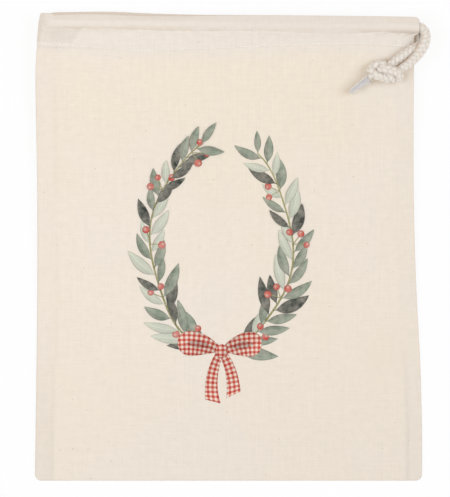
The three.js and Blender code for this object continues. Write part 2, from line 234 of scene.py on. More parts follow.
def swells(x, y, lengths, seed):
    """A smooth random surface with a height of about 1."""
    rng = np.random.default_rng(seed)
    total = 0
    for size in lengths:
        heading, phase = rng.uniform(0, 2 * math.pi, 2)
        along = x * math.cos(heading) + y * math.sin(heading)
        total = total + np.sin(2 * math.pi * along / size + phase)
    return total / math.sqrt(len(lengths))


# Cord: one braided length in four pieces, which are its stretch inside the casings, two strands and a knot

# The braid: columns of slanted lobes, which wind slowly round the cord
COLUMNS = 4
LOBE_PITCH = 0.0032
LOBE_SLANT = math.radians(18)
LOBE_DEPTH = 0.00078
# The lobes' tops stand this much further out than the cord's plain radius
CROWN = 1.08
BRAID_TWIST = 9.0
# A lobe's half width as a share of its column's, and how much smaller the smallest lobes are
LOBE_HALF_WIDTH, LOBE_ODDS = 0.65, 0.14
# How much thicker each loose strand's middle is than its ends, which the casing and the knot grip
FRONT_FULLNESS, BACK_FULLNESS = 0.16, 0.07


def curve_through(points, spacing):
    """The centripetal curve through the points, as points spaced evenly along it."""
    p = np.asarray(points, float)
    p = np.vstack([2 * p[0] - p[1], p, 2 * p[-1] - p[-2]])
    found = []
    for a, b, c, d in zip(p, p[1:], p[2:], p[3:]):
        t0, t1, t2, t3 = np.cumsum([0, *(np.linalg.norm(v) ** 0.5 for v in (b - a, c - b, d - c))])
        t = np.linspace(t1, t2, 24, endpoint=False)[:, None]
        ab = (t1 - t) / (t1 - t0) * a + (t - t0) / (t1 - t0) * b
        bc = (t2 - t) / (t2 - t1) * b + (t - t1) / (t2 - t1) * c
        cd = (t3 - t) / (t3 - t2) * c + (t - t2) / (t3 - t2) * d
        abc = (t2 - t) / (t2 - t0) * ab + (t - t0) / (t2 - t0) * bc
        bcd = (t3 - t) / (t3 - t1) * bc + (t - t1) / (t3 - t1) * cd
        found.append((t2 - t) / (t2 - t1) * abc + (t - t1) / (t2 - t1) * bcd)
    return spaced(np.vstack([*found, p[-2:-1]]), spacing)


def arc_length(line, axis=0):
    """How far along a line, or along each line of a grid, its points are."""
    steps = np.linalg.norm(np.diff(line, axis=axis), axis=-1)
    return np.concatenate([0 * steps.take([0], axis), np.cumsum(steps, axis=axis)], axis=axis)


def spaced(line, spacing):
    along = arc_length(line)
    at = np.linspace(0, along[-1], max(2, round(along[-1] / spacing) + 1))
    return np.stack([np.interp(at, along, line[:, k]) for k in range(3)], axis=1)


def tube_frames(line, start):
    """Two directions across the line at each point, carried along it without twist."""
    tangent = np.gradient(line, axis=0)
    tangent /= np.linalg.norm(tangent, axis=1, keepdims=True)
    side = np.empty_like(line)
    carried = np.asarray(start, float)
    for k, t in enumerate(tangent):
        carried = carried - t * carried.dot(t)
        carried /= np.linalg.norm(carried)
        side[k] = carried
    return side, np.cross(tangent, side)


def braid(along, turn, seed):
    """Height (0 to 1) of a braid's lobes, with each point's place across and along its lobe."""
    height = np.zeros(np.broadcast(along, turn).shape)
    yarn = np.zeros(height.shape + (3,))
    width = math.pi * CORD / COLUMNS
    for column in range(COLUMNS):
        centre = 2 * math.pi * column / COLUMNS + BRAID_TWIST * along
        away = (turn - centre + math.pi) % (2 * math.pi) - math.pi
        beside = away * CORD / 2 / width
        lean = math.tan(LOBE_SLANT) * (1 if column % 2 else -1) * width
        at = (along + lean * beside) / LOBE_PITCH + 0.5 * (column % 2)
        number = np.round(at)
        across = 2 * (at - number)
        # A number from 0 to 1 for each lobe, as good as random
        odd = np.sin(number * 12.9898 + column * 78.233 + seed) * 43758.5453
        odd = odd - np.floor(odd)
        lobe = np.sqrt(np.clip(1 - across**2 * 0.97, 0, 1))
        lobe = lobe * np.sqrt(np.clip(1 - (beside / LOBE_HALF_WIDTH) ** 2, 0, 1))
        lobe = lobe * (1 - LOBE_ODDS + LOBE_ODDS * odd)
        higher = lobe > height
        height = np.where(higher, lobe, height)
        here = np.stack(np.broadcast_arrays(across, beside, odd), axis=-1)
        yarn = np.where(higher[..., None], here, yarn)
    return height, yarn


def braided_tube(line, sides, start, offset=0.0, ends=(1.0, 1.0), seed=0.0, thick=CORD, profile=None):
    """Points, faces and attributes of a closed braided tube; its ends keep these shares of its radius."""
    along = arc_length(line)
    side, up = tube_frames(line, start)
    turn = np.linspace(0, 2 * math.pi, sides, endpoint=False)
    height, yarn = braid((along + offset)[:, None], turn[None, :], seed)
    radius = thick / 2 * CROWN - LOBE_DEPTH * (thick / CORD) * (1 - height)
    if profile is not None:
        radius = radius * profile(along)[:, None]
    for from_end, keep in zip((along, along[-1] - along), ends):
        q = np.clip(from_end / (thick / 2), 0, 1)
        radius = radius * (keep + (1 - keep) * np.sqrt(1 - (1 - q) ** 2))[:, None]
    ids = numbered(len(line), sides)
    after = np.roll(ids, -1, axis=1)
    hub = np.full(sides, ids.size)
    first = np.stack([after[0], ids[0], hub], axis=1)
    last = np.stack([ids[-1], after[-1], hub + 1], axis=1)
    wall = circles(line[:, None], side[:, None], up[:, None], sides, radius).reshape(-1, 3)
    faces = quads(ids, closed=True).tolist() + first.tolist() + last.tolist()
    height = np.concatenate([height.ravel(), [0, 0]])
    yarn = np.concatenate([yarn.reshape(-1, 3), np.zeros((2, 3))])
    return np.concatenate([wall, line[[0, -1]]]), faces, height, yarn


def cord_object(name, tubes):
    """One piece made of several braided tubes."""
    points, faces, lobe, yarn = merged(tubes)
    return mesh_object(name, points, faces, CORD_MATERIAL, {"lobe": lobe}, {"yarn": yarn})


def strand_into_knot(facing, strand, turn, fullness):
    """The tubes of a loose strand and of the turn that it goes on as, cut from one braided cord."""
    strand = exit_of(facing) + strand
    line = curve_through([*strand, *(KNOT + turn)[1:]], FINE_STEP)
    end = int(np.argmin(np.linalg.norm(line - strand[-1], axis=1)))
    side = tube_frames(line, ACROSS_CORD)[0]
    met = arc_length(line)[end]

    def fuller(place):
        return 1 + fullness * np.sin(math.pi * place / met) ** 2

    loose = braided_tube(line[: end + 1], FINE_SIDES, ACROSS_CORD, profile=fuller)
    tied = braided_tube(line[end:], FINE_SIDES, side[end], offset=met, ends=(1, KNOT_END))
    return loose, tied


def exit_of(facing):
    z = FRONT_CORD_Z if facing > 0 else BACK_CORD_Z
    return np.array([CASING_END, mouth_y(CASING_END) - CORD_BELOW_MOUTH, z])


# Offsets from the front strand's exit
FRONT_STRAND = [
    (-0.0035, 0, 0), (-0.0013, 0, 0), (0.0007, -0.00035, 0), (0.0027, -0.0019, 0.0001),
    (0.004, -0.0046, 0.0006), (0.0041, -0.0078, 0.0016), (0.0027, -0.0124, 0.0031),
    (-0.0014, -0.0187, 0.0033), (-0.0063, -0.0237, 0.0029), (-0.011, -0.027, 0.0026),
]
# Offsets from the back strand's exit
BACK_STRAND = [
    (-0.0035, 0, 0), (-0.0013, 0, 0), (0.0007, -0.0005, 0.00005), (0.0023, -0.0023, 0.0005),
    (0.0032, -0.0049, 0.0018), (0.0032, -0.0076, 0.0042), (0.0024, -0.0103, 0.0077),
    (-0.0005, -0.0126, 0.011), (-0.0045, -0.0146, 0.0132), (-0.0088, -0.0174, 0.0143),
    (-0.0128, -0.0202, 0.0149), (-0.0155, -0.0222, 0.0152),
]
KNOT_FROM_EXIT = (-0.0219, -0.0292)
KNOT_CLEARANCE = 0.0003
# Lengths of cord in the knot, as offsets from a point on the cloth under its middle
KNOT_TURNS = [
    [(0.0105, 0.0019, 0.0054), (0.0096, 0.0013, 0.0053), (0.0072, 0.0003, 0.0052),
     (0.005, -0.0016, 0.0056), (0.0042, -0.0041, 0.0058), (0.004, -0.0049, 0.0033)],
    [(0.00575, 0.0064, 0.0048), (0.005, 0.0059, 0.0047), (0.0032, 0.0039, 0.0045),
     (0.0008, 0.0032, 0.0045), (-0.0022, 0.0047, 0.0054), (-0.0054, 0.0045, 0.0058),
     (-0.008, 0.0024, 0.0048), (-0.0082, -0.0006, 0.0036), (-0.0068, -0.0034, 0.0031)],
    [(-0.0038, 0.0013, 0.0054), (-0.0025, 0.0019, 0.0082), (0.0012, 0.0012, 0.0098),
     (0.0054, 0.0001, 0.0094), (0.0083, -0.0018, 0.0076), (0.0088, -0.0042, 0.0052),
     (0.0076, -0.005, 0.0032)],
    [(0.0044, -0.0046, 0.0032), (0.0014, -0.0047, 0.0054), (-0.0024, -0.0037, 0.0074),
     (-0.0064, -0.002, 0.0078), (-0.0093, 0.0008, 0.0066), (-0.0088, 0.0032, 0.0044)],
    [(-0.0066, 0.0002, 0.0038), (-0.0026, -0.0012, 0.0052), (0.0015, -0.002, 0.0056),
     (0.005, -0.0016, 0.0046)],
]
AGLET_LENGTH, AGLET_WIDTH, AGLET_WALL = 0.015, 0.0045, 0.0005
# A tail's thickness, and how far inside the knot it starts
TAIL = AGLET_WIDTH - 2 * (AGLET_WALL + GAP)
TAIL_SETBACK = 0.005
UPPER_SLEEVE = {"root": (-0.0112, -0.0043, 0.0077), "way": (-0.784, -0.621, -0.07), "taper": (0.94, 0.68)}
LOWER_SLEEVE = {"root": (-0.0104, -0.0056, 0.0029), "way": (-0.821, -0.574, -0.08), "taper": (0.9, 0.56)}

FINE_STEP, FINE_SIDES = 0.00024, 48
HELD_STEP, HELD_SIDES = 0.0004, 36
ACROSS_CORD = (0, 0, 1)
ROUTE_STEP = 0.002
# How far the held cord's bend stays off the casing's at the left side seam, and points along that bend
BEND_SHIFT, BEND_POINTS = 0.0003, 40
# What the cord's cut ends inside the knot keep of its radius
KNOT_END = 0.6


def held_line():
    """The cord's centreline inside the casings, which turns back round the left side seam."""
    turns = np.linspace(0, math.pi, BEND_POINTS)
    bend_x = BEND_X + BEND_SHIFT - BEND_RADIUS * np.sin(turns)
    bend_z = SEAM_TOP_Z + BEND_RADIUS * np.cos(turns)
    end = CASING_END - CORD_HANDOVER
    x = np.concatenate([[end], bend_x, [end]])
    z = np.concatenate([[FRONT_CORD_Z], bend_z, [BACK_CORD_Z]])
    return spaced(np.stack([x, mouth_y(x) - CORD_BELOW_MOUTH, z], axis=1), HELD_STEP)


def panel_z(x, y, facing):
    """Height of a panel's middle surface without its relief."""
    d = edge_distance(x, y)
    turn = np.arccos(1 - np.minimum(1, d / EDGE_RADIUS))
    spread = np.clip((d - EDGE_RADIUS) / EDGE_ROLL, 0, 1)
    grown = rise(y) ** SLOPE_POWER
    swell = (FRONT_TOP_Z - SEAM_TOP_Z - PLY_OFFSET) * grown if facing > 0 else seam_z(y) - SEAM_BOTTOM_Z
    height = GAP / 2 + EDGE_RADIUS * np.sin(turn) + swell * (1 - (1 - spread) ** 2)
    return seam_z(y) + facing * height


def knot_base():
    front_exit = exit_of(1)
    x, y = front_exit[0] + KNOT_FROM_EXIT[0], front_exit[1] + KNOT_FROM_EXIT[1]
    return np.array([x, y, float(panel_z(x, y, 1)) + HALF + KNOT_CLEARANCE])


def tail_direction(sleeve):
    return np.array(sleeve["way"]) / np.linalg.norm(sleeve["way"])


TAIL_SIDES = 32
# A tail's thickness before its sleeve, at the sleeve's root and at its tip, as shares of TAIL
THICK_TAIL, THIN_TAIL, TAIL_TIP = 1.5, 0.88, 0.68
SLEEVE_SIDES, SLEEVE_RINGS = 36, 40
SLEEVE_WALL = 0.00032
# How far the sleeve's tip is cut aslant, its dents, and the share of its length that shrinking took
TIP_SLANT, SHRUNK = 0.2, 0.06
DENT, DENT_LENGTHS, DENT_TURN = 0.014, (0.0035, 0.0052, 0.0083), 0.004
# Where round the sleeve its film ends, how far it takes to, and how much it stands out there
FILM_END, FILM_SPREAD, FILM_STEP = 5.2, 0.25, 0.03


def tail(sleeve):
    """An end of the cord, from inside the knot to its sleeve's tip, squeezed where the sleeve grips it."""
    along = tail_direction(sleeve)
    root = KNOT + sleeve["root"]
    ends = np.array([root - TAIL_SETBACK * along, root + (AGLET_LENGTH - 2 * AGLET_WALL) * along])

    def squeezed(place):
        gripped = smooth((place - 0.6 * TAIL_SETBACK) / (0.5 * TAIL_SETBACK))
        thickness = THICK_TAIL + (THIN_TAIL - THICK_TAIL) * gripped
        return thickness * (1 - (1 - TAIL_TIP) * smooth((place - TAIL_SETBACK) / AGLET_LENGTH))

    line = spaced(ends, FINE_STEP)
    return braided_tube(line, TAIL_SIDES, ACROSS_CORD, ends=(1, 0.5), thick=TAIL, profile=squeezed)


def sleeve_object(name, sleeve, seed):
    """A clear film rolled and shrunk round an end of the cord: a thin, slightly dented, tapered tube."""
    along = tail_direction(sleeve)
    side = np.cross(along, (0, 0, 1))
    side /= np.linalg.norm(side)
    up = np.cross(side, along)
    turn = np.linspace(0, 2 * math.pi, SLEEVE_SIDES, endpoint=False)
    share = np.linspace(0, 1, SLEEVE_RINGS)[:, None]
    wide, narrow = sleeve["taper"]
    dents = waves(AGLET_LENGTH * share + DENT_TURN * np.cos(turn), DENT_LENGTHS, seed)
    dent = 1 + DENT * dents * np.sin(turn + 1)
    rolled = 1 + FILM_STEP * smooth((turn - FILM_END) / FILM_SPREAD)
    outer = AGLET_WIDTH / 2 * (wide + (narrow - wide) * share) * dent * rolled
    slant = TIP_SLANT * AGLET_WIDTH / 2 * np.cos(turn) * share**8
    place = AGLET_LENGTH * share * (1 - SHRUNK * share) + slant
    middle = KNOT + sleeve["root"] + place[..., None] * along
    outside, inside = (
        circles(middle, side, up, SLEEVE_SIDES, radius) for radius in (outer, outer - SLEEVE_WALL)
    )
    points = np.concatenate([outside, inside[::-1]]).reshape(-1, 3)
    ids = numbered(2 * SLEEVE_RINGS, SLEEVE_SIDES)
    faces = quads(np.concatenate([ids, ids[:1]]), closed=True).tolist()
    return mesh_object(name, points, faces, SLEEVE_MATERIAL)


# Materials


class Nodes:
    """Short ways to add nodes to a tree."""

    def __init__(self, tree):
        self.tree = tree

    def put(self, value, socket):
        if isinstance(value, bpy.types.NodeSocket):
            self.tree.links.new(value, socket)
        else:
            socket.default_value = value

    def add(self, kind, inputs, **settings):
        node = self.tree.nodes.new("ShaderNode" + kind)
        for name, value in settings.items():
            setattr(node, name, value)
        for key, value in inputs.items():
            self.put(value, node.inputs[key])
        return node

    def read(self, name, output="Vector"):
        return self.add("Attribute", {}, attribute_name=name).outputs[output]

    def place(self):
        return self.add("TexCoord", {}).outputs["Object"]

    def seen(self, *rays):
        """1 for rays of these kinds, 0 for others."""
        path = self.add("LightPath", {}).outputs
        first, *others = (path[f"Is {ray} Ray"] for ray in rays)
        for other in others:
            first = self.math("MAXIMUM", first, other)
        return first

    def math(self, operation, a, b=0.0, clamp=False):
        return self.add("Math", {0: a, 1: b}, operation=operation, use_clamp=clamp).outputs[0]

    def product(self, first, *others):
        for other in others:
            first = self.math("MULTIPLY", first, other)
        return first

    def scaled(self, vector, scale):
        return self.add("VectorMath", {0: vector, 1: scale}, operation="MULTIPLY").outputs[0]

    def split(self, vector):
        return self.add("SeparateXYZ", {0: vector}).outputs

    def noise(self, vector, scale, detail=2.0, roughness=0.5):
        inputs = {"Vector": vector, "Scale": scale, "Detail": detail, "Roughness": roughness}
        return self.add("TexNoise", inputs).outputs["Fac"]

    def between(self, value, low, high, to_low=0.0, to_high=1.0):
        inputs = {"Value": value, "From Min": low, "From Max": high, "To Min": to_low, "To Max": to_high}
        return self.add("MapRange", inputs).outputs[0]

    def mix(self, share, a, b, blend="MIX"):
        a, b = ((*colour, 1) if isinstance(colour, tuple) else colour for colour in (a, b))
        return self.add("Mix", {0: share, 6: a, 7: b}, data_type="RGBA", blend_type=blend).outputs[2]

    def times(self, colour, level):
        tone = self.add("CombineColor", {0: level, 1: level, 2: level}).outputs[0]
        return self.mix(1.0, colour, tone, "MULTIPLY")

    def bump(self, height, distance, normal=None):
        inputs = {"Height": height, "Distance": distance, "Strength": 1.0}
        if normal:
            inputs["Normal"] = normal
        return self.add("Bump", inputs).outputs[0]


class Shader(Nodes):
    """A material with its nodes; the values are those of its surface."""

    def __init__(self, name, **values):
        self.material = bpy.data.materials.new(name)
        self.material.use_nodes = True
        super().__init__(self.material.node_tree)
        self.surface = self.tree.nodes["Principled BSDF"]
        for key, value in values.items():
            self.put(value, self.surface.inputs[key.replace("_", " ")])

    def finish(self, colour, normal=None):
        self.put(colour, self.surface.inputs["Base Color"])
        if normal:
            self.put(normal, self.surface.inputs["Normal"])
        return self.material


def linear(red, green, blue):
    """A colour given in sRGB from 0 to 255, as the renderer takes it."""
    shares = [c / 255 for c in (red, green, blue)]
    return tuple(c / 12.92 if c <= 0.04045 else ((c + 0.055) / 1.055) ** 2.4 for c in shares)


CALICO = linear(240, 229, 216)
CALICO_WARM = linear(241, 229, 212)
# Two plies of cloth; below the hem it also colours painted shade
CALICO_DOUBLE = linear(237, 227, 216)
# Painted shade on the front casing's left end
CALICO_LEFT_END_SHADE = linear(227, 217, 205)
SEED_FLECK = linear(176, 156, 128)
COTTON = linear(242, 234, 225)
# Painted shade in the crevices between the cord's lobes
COTTON_CREVICE_SHADE = linear(226, 213, 197)
THREAD = linear(252, 248, 240)
SLEEVE_DULL, SLEEVE_BRIGHT = linear(221, 217, 216), linear(240, 236, 235)
INK_DARK = linear(54, 60, 53)
INK_SAGE = linear(140, 152, 134)
INK_PALE = linear(203, 208, 190)
INK_STEM = linear(158, 156, 86)
INK_BERRY = linear(193, 66, 54)
CHECK_LIGHT = linear(222, 128, 108)
CHECK_DEEP = linear(184, 56, 50)
FLOOR_DULL, FLOOR_BRIGHT = linear(246, 246, 246), linear(248, 248, 248)
# Round and drawn-out seed flecks: how their pattern is stretched, how crowded it is, and their size
FLECKS = ((1, 1, 1), 120, 0.038), ((0.25, 1, 1), 50, 0.012)
# The pitch of the weave and of the ribbon's checks, and heights of the relief that only shading shows
THREAD_PITCH, CHECK = 0.00045, 0.003
WEAVE_BUMP, SLUB_BUMP = 0.00006, 0.00005
YARN_BUMP, FIBRE_BUMP = 0.00004, 0.00012
THREAD_BUMP, SLEEVE_BUMP = 0.00003, 0.00008


def cloth_shader(name):
    """The shader of a matte cloth, with the place in the flat weave and the cloth's colour with its
    painted light and shade.
    """
    shader = Shader(
        name, Roughness=0.92, Specular_IOR_Level=0.25, Sheen_Weight=0.12, Sheen_Roughness=0.5
    )
    flat = shader.read("flat")
    return shader, flat, calico_colour(shader, flat)


def calico_colour(shader, flat):
    """The cloth's colour, with slubs both ways, seed flecks and slow changes of tone, and painted light
    and shade: brightness that changes slowly across and up the bag, and the shade that the plies and shade
    values carry.
    """
    place = shader.split(flat)
    slow = shader.between(shader.noise(flat, 14), 0.35, 0.65)
    upwards = shader.between(place[1], -0.12, 0.1, -0.4, 0.3)
    colour = shader.mix(shader.math("ADD", slow, upwards, clamp=True), CALICO, CALICO_WARM)
    # Plies grey the cloth; these values also carry painted shade below the hem and on the front casing's
    # left end
    plies_and_shade = shader.read("plies_and_shade", "Fac")
    colour = shader.mix(shader.math("MINIMUM", plies_and_shade, 1.0), colour, CALICO_DOUBLE)
    # Past one ply: painted shade on the front casing's left end
    colour = shader.mix(shader.math("SUBTRACT", plies_and_shade, 1.0, clamp=True), colour, CALICO_LEFT_END_SHADE)
    warp = shader.noise(shader.scaled(flat, (1.0, 0.03, 1.0)), 900, detail=3)
    weft = shader.noise(shader.scaled(flat, (0.04, 1.0, 1.0)), 1100, detail=3)
    # The shade values, slubs, grain and mottle, and painted light: the cloth is darker to the right, lower
    # down, and most near the bottom
    level = shader.product(
        shader.math("SUBTRACT", 1.0, shader.read("shade", "Fac")),
        shader.between(shader.math("ADD", warp, weft), 0.75, 1.25, 0.98, 1.016),
        shader.between(shader.noise(flat, 2600), 0.3, 0.7, 0.985, 1.015),
        shader.between(shader.noise(flat, 240, detail=3, roughness=0.6), 0.3, 0.7, 0.978, 1.018),
        shader.between(place[0], -0.12, 0.12, 1.019, 0.979),
        shader.between(place[1], -0.15, 0.15, 0.987, 1.013),
        shader.between(place[1], -0.14, -0.03, 0.978, 1.0),
    )
    colour = shader.times(colour, level)
    for stretch, crowd, reach in FLECKS:
        inputs = {"Vector": shader.scaled(flat, stretch), "Scale": crowd, "Randomness": 1.0}
        spots = shader.add("TexVoronoi", inputs, voronoi_dimensions="2D").outputs
        chance = shader.add("SeparateColor", {0: spots["Color"]}).outputs
        size = shader.between(chance[0], 0.72, 0.9, 0.0, reach)
        fleck = shader.math("LESS_THAN", spots["Distance"], size)
        strength = shader.between(chance[1], 0.0, 1.0, 0.08, 0.7)
        colour = shader.mix(shader.product(fleck, strength), colour, SEED_FLECK)
    return colour


def calico_normal(shader, flat):
    """Plain weave, in which threads both ways go over and under in turn, with slubs in the weft."""
    threads = shader.split(shader.scaled(flat, (math.pi / THREAD_PITCH,) * 3))
    crossing = shader.product(*(shader.math("SINE", threads[way]) for way in (0, 1)))
    weave = shader.bump(shader.between(crossing, -1, 1), WEAVE_BUMP)
    slub = shader.noise(shader.scaled(flat, (0.06, 1.0, 1.0)), 1200, detail=3)
    return shader.bump(slub, SLUB_BUMP, weave)


def calico():
    shader, flat, colour = cloth_shader("calico")
    return shader.finish(colour, calico_normal(shader, flat))


def cotton_cord():
    shader = Shader(
        "cotton_cord", Roughness=0.93, Specular_IOR_Level=0.2, Sheen_Weight=0.15, Sheen_Roughness=0.5,
        Subsurface_Weight=0.25, Subsurface_Radius=(1.0, 0.85, 0.7), Subsurface_Scale=0.0008,
    )
    yarn = shader.read("yarn")
    # Painted shade: the cord is darker where its lobes are low, in the crevices between them
    colour = shader.mix(shader.between(shader.read("lobe", "Fac"), 0.1, 0.62), COTTON_CREVICE_SHADE, COTTON)
    plies_and_shade = shader.math("SINE", shader.math("MULTIPLY", shader.split(yarn)[0], 16.0))
    fibres = shader.noise(shader.scaled(yarn, (14.0, 3.0, 40.0)), 1.0, detail=3)
    colour = shader.times(colour, shader.between(fibres, 0.3, 0.7, 0.93, 1.05))
    return shader.finish(colour, shader.bump(fibres, FIBRE_BUMP, shader.bump(plies_and_shade, YARN_BUMP)))


def leaf_ink():
    """Ink in the cloth: washed unevenly, darker along a shape's edge and thinner along a leaf's midrib."""
    shader, flat, cloth = cloth_shader("leaf_ink")
    away = shader.math("ABSOLUTE", shader.split(shader.read("drawn"))[1])
    wash = shader.between(shader.noise(flat, 210, detail=3, roughness=0.6), 0.32, 0.68, 0.72, 1.0)
    speckle = shader.between(shader.noise(flat, 1500), 0.3, 0.7, 0.9, 1.04)
    pooled = shader.between(away, 0.7, 0.97, 1.0, 0.84)
    rib = shader.between(away, 0.03, 0.14, 1.22, 1.0)
    ink = shader.times(shader.read("ink", "Color"), shader.product(pooled, rib, speckle))
    return shader.finish(shader.mix(wash, cloth, ink), calico_normal(shader, flat))


def checked_ink():
    """Red checks as on gingham: stripes both ways along a ribbon, deeper where they cross."""
    shader, flat, cloth = cloth_shader("checked_ink")
    ribbon = shader.split(shader.scaled(shader.read("along"), (2 * math.pi / CHECK,) * 3))
    stripes = [shader.between(shader.math("SINE", ribbon[way]), -0.12, 0.12) for way in (0, 1)]
    wash = shader.between(shader.noise(flat, 260, detail=3), 0.3, 0.7, 0.8, 1.0)
    colour = shader.mix(shader.product(shader.math("MAXIMUM", *stripes), wash), cloth, CHECK_LIGHT)
    colour = shader.mix(shader.product(*stripes, wash), colour, CHECK_DEEP)
    colour = shader.mix(1.0, colour, shader.read("ink", "Color"), "MULTIPLY")
    return shader.finish(colour, calico_normal(shader, flat))


def sewing_thread():
    shader = Shader("sewing_thread", Roughness=0.8, Specular_IOR_Level=0.3)
    fibres = shader.noise(shader.place(), 3000)
    colour = shader.mix(shader.between(fibres, 0.35, 0.9), THREAD, CALICO)
    return shader.finish(colour, shader.bump(fibres, THREAD_BUMP))


def clear_sleeve():
    shader = Shader(
        "clear_sleeve", Roughness=0.36, IOR=1.45, Transmission_Weight=0.5, Specular_IOR_Level=0.5
    )
    cloud = shader.noise(shader.place(), 380, detail=3)
    colour = shader.mix(cloud, SLEEVE_DULL, SLEEVE_BRIGHT)
    return shader.finish(colour, shader.bump(cloud, SLEEVE_BUMP))


# Camera and light

LENS, SENSOR = 0.4, 0.036
# What the picture shows from bottom to top at the side seams' level, and the point under the camera
PICTURE_HEIGHT, SEAM_LEVEL = 0.32065, 0.01
CAMERA_OVER = (-0.00226, -0.0009)
FAR_CLIP = 100
# The sky's share of the light on a level face, in red, green and blue
SKY_LEVEL = (0.61, 0.5, 0.39)
# Two large soft lamps: the way to each, its share of the light on a level face, and its size
LAMPS = (
    ((0.76, 0.06, 1.0), 0.46, math.radians(34)),
    ((-0.55, -0.15, 1.0), 0.54, math.radians(34)),
)
FLOOR_GLOW = 0.9
FLOOR_SIZE, FLOOR_GAP = 6.0, 0.00002


def make_camera():
    data = bpy.data.cameras.new("camera")
    data.lens = LENS * 1000
    data.sensor_fit = "VERTICAL"
    data.sensor_width = data.sensor_height = SENSOR * 1000
    data.clip_end = FAR_CLIP
    camera = bpy.data.objects.new("camera", data)
    bpy.context.scene.collection.objects.link(camera)
    camera.location = (*CAMERA_OVER, SEAM_LEVEL + PICTURE_HEIGHT * LENS / SENSOR)
    bpy.context.scene.camera = camera


def make_world():
    """A plain warm sky that the camera, and what mirrors it, sees as white."""
    world = bpy.data.worlds.new("studio")
    bpy.context.scene.world = world
    world.use_nodes = True
    sky = Nodes(world.node_tree)
    colour = sky.mix(sky.seen("Camera", "Glossy"), SKY_LEVEL, (1, 1, 1))
    sky.put(colour, sky.tree.nodes["Background"].inputs["Color"])


def make_lamps():
    """Lamps that with the sky light a level face at a plain level, in the colour that the sky lacks."""
    for k, (heading, share, size) in enumerate(LAMPS):
        towards = Vector(heading).normalized()
        data = bpy.data.lights.new(f"lamp_{k}", "SUN")
        lacking = [1 - level for level in SKY_LEVEL]
        data.energy = math.pi * share * max(lacking) / towards.z
        data.color = [level / max(lacking) for level in lacking]
        data.angle = size
        lamp = bpy.data.objects.new(f"lamp_{k}", data)
        lamp.rotation_euler = towards.to_track_quat("Z", "Y").to_euler()
        bpy.context.scene.collection.objects.link(lamp)


def floor_material():
    """A matte white that the camera, and what mirrors it, sees as glowing."""
    shader = Shader("floor", Roughness=0.9, Specular_IOR_Level=0.1)
    shader.finish(shader.mix(shader.noise(shader.place(), 3), FLOOR_DULL, FLOOR_BRIGHT))
    glow = shader.add("Emission", {"Color": (1, 1, 1, 1), "Strength": 1.0}).outputs[0]
    share = shader.product(shader.seen("Camera", "Glossy", "Transmission"), FLOOR_GLOW)
    both = shader.add("MixShader", {0: share, 1: shader.surface.outputs[0], 2: glow}).outputs[0]
    shader.put(both, shader.tree.nodes["Material Output"].inputs["Surface"])
    return shader.material


def make_floor():
    half = FLOOR_SIZE / 2
    corners = [(-half, -half, 0), (half, -half, 0), (half, half, 0), (-half, half, 0)]
    floor = mesh_object("floor", corners, [(0, 1, 2, 3)], floor_material())
    floor.location.z = -FLOOR_GAP


# Cloth: the front's and the back's outline, folds and ripples


MIDDLE_COLUMNS, OUTER_COLUMNS = 210, 30
# Distances of the outer columns from either side edge, and the other columns' shares of the middle
TURNED = EDGE_RADIUS * (1 - np.cos(np.linspace(0, math.pi / 2, 6)))
ROLLED = EDGE_RADIUS + EDGE_ROLL * (np.arange(1, OUTER_COLUMNS + 1) / OUTER_COLUMNS) ** 1.25
NEAR = np.concatenate([TURNED, ROLLED])
MIDDLE = np.arange(1, MIDDLE_COLUMNS) / MIDDLE_COLUMNS
OUTER = len(NEAR)
PANEL_ROWS = 80
# Rows next to the bottom fold, as distances up the bag from it, and two rows of the front's cloth that
# lie under the fold
FOLD_TURNED = EDGE_RADIUS * (1 - np.cos(np.linspace(0, math.pi / 2, 5)))
FOLD_ROWS = [*FOLD_TURNED, 0.45 * INSET, 0.7 * INSET, INSET]
UNDER_FOLD = (0.0024, 0.0016)
# Rows next to the stitching, as distances below it, after the evenly spaced rows
EVEN_END = 0.0105
NEAR_ROWS = (
    0.0085, 0.007, 0.0056, 0.0045, 0.0037, 0.0031, 0.0026, 0.0021, 0.0017, 0.0013, 0.0009, 0.0006,
    0.0003, 0,
)
# The groove that the stitches pull, and the puckers beside it
GROOVE, GROOVE_WIDTH, GROOVE_FROM_EDGE = 0.00028, 0.0009, 0.004
PUCKER, PUCKER_REACH = 0.00012, 0.0045
PUCKER_LENGTHS = (0.0041, 0.0056, 0.0073, 0.0098)
RIPPLE_LENGTHS = (0.0083, 0.0127, 0.0191, 0.0302)
SWELL_LENGTHS = (0.055, 0.071, 0.093, 0.12, 0.16)
SWELL, BACK_SWELL, STREAK = 0.00045, 0.00012, 0.00005
SIDE_PUCKER, SIDE_REACH = 0.00008, 0.006
# The shares that swells and streaks have at the bottom, and how much streaks and side puckers slant
LOW_SWELLS, LOW_STREAKS = 0.25, 0.3
STREAK_SLANT, PUCKER_SLANT = 0.1, 2.0
# How near its edges a panel has no swells, and over what distance they grow
CALM, CALM_TO_FULL = 0.0015, 0.012
# Over what distance from an edge the side puckers and the allowance's step grow
PUCKER_GROWS, STEP_GROWS = 0.001, 0.002
# How much the turned hem and a seam allowance lift the cloth over them, and the width of the latter's edge
CASING_STEP, ALLOWANCE_STEP, ALLOWANCE_EDGE = 0.0005, 0.00012, 0.0008
# How gently the hem's end steps down, at places across the bag
STEP_WIDTH = ((-0.123, 0.0006), (-0.1, 0.0007), (-0.07, 0.0013), (0.122, 0.0014))
# For the left and the right allowance: where its edge shows, how much darker the cloth is over the
# allowance and along its edge, and what share of that line goes on further up
GHOSTS = (SEAM_ALLOWANCE, 0.035, 0.03, 0.75), (0.0092, 0.01, 0.06, 0.1)
# From what share of the way up they fade, and over what share
GHOSTS_FADE = (0.12, 0.25)
# The width of an edge's line, and how much wider and further in it is where it has faded
GHOST_LINE, GHOST_WIDER, GHOST_SHIFT = 0.0012, 0.0008, 0.0014
# How far past an allowance's edge its own shade ends, and over what distance
GHOST_PAST, GHOST_SOFT = 0.0022, 0.002
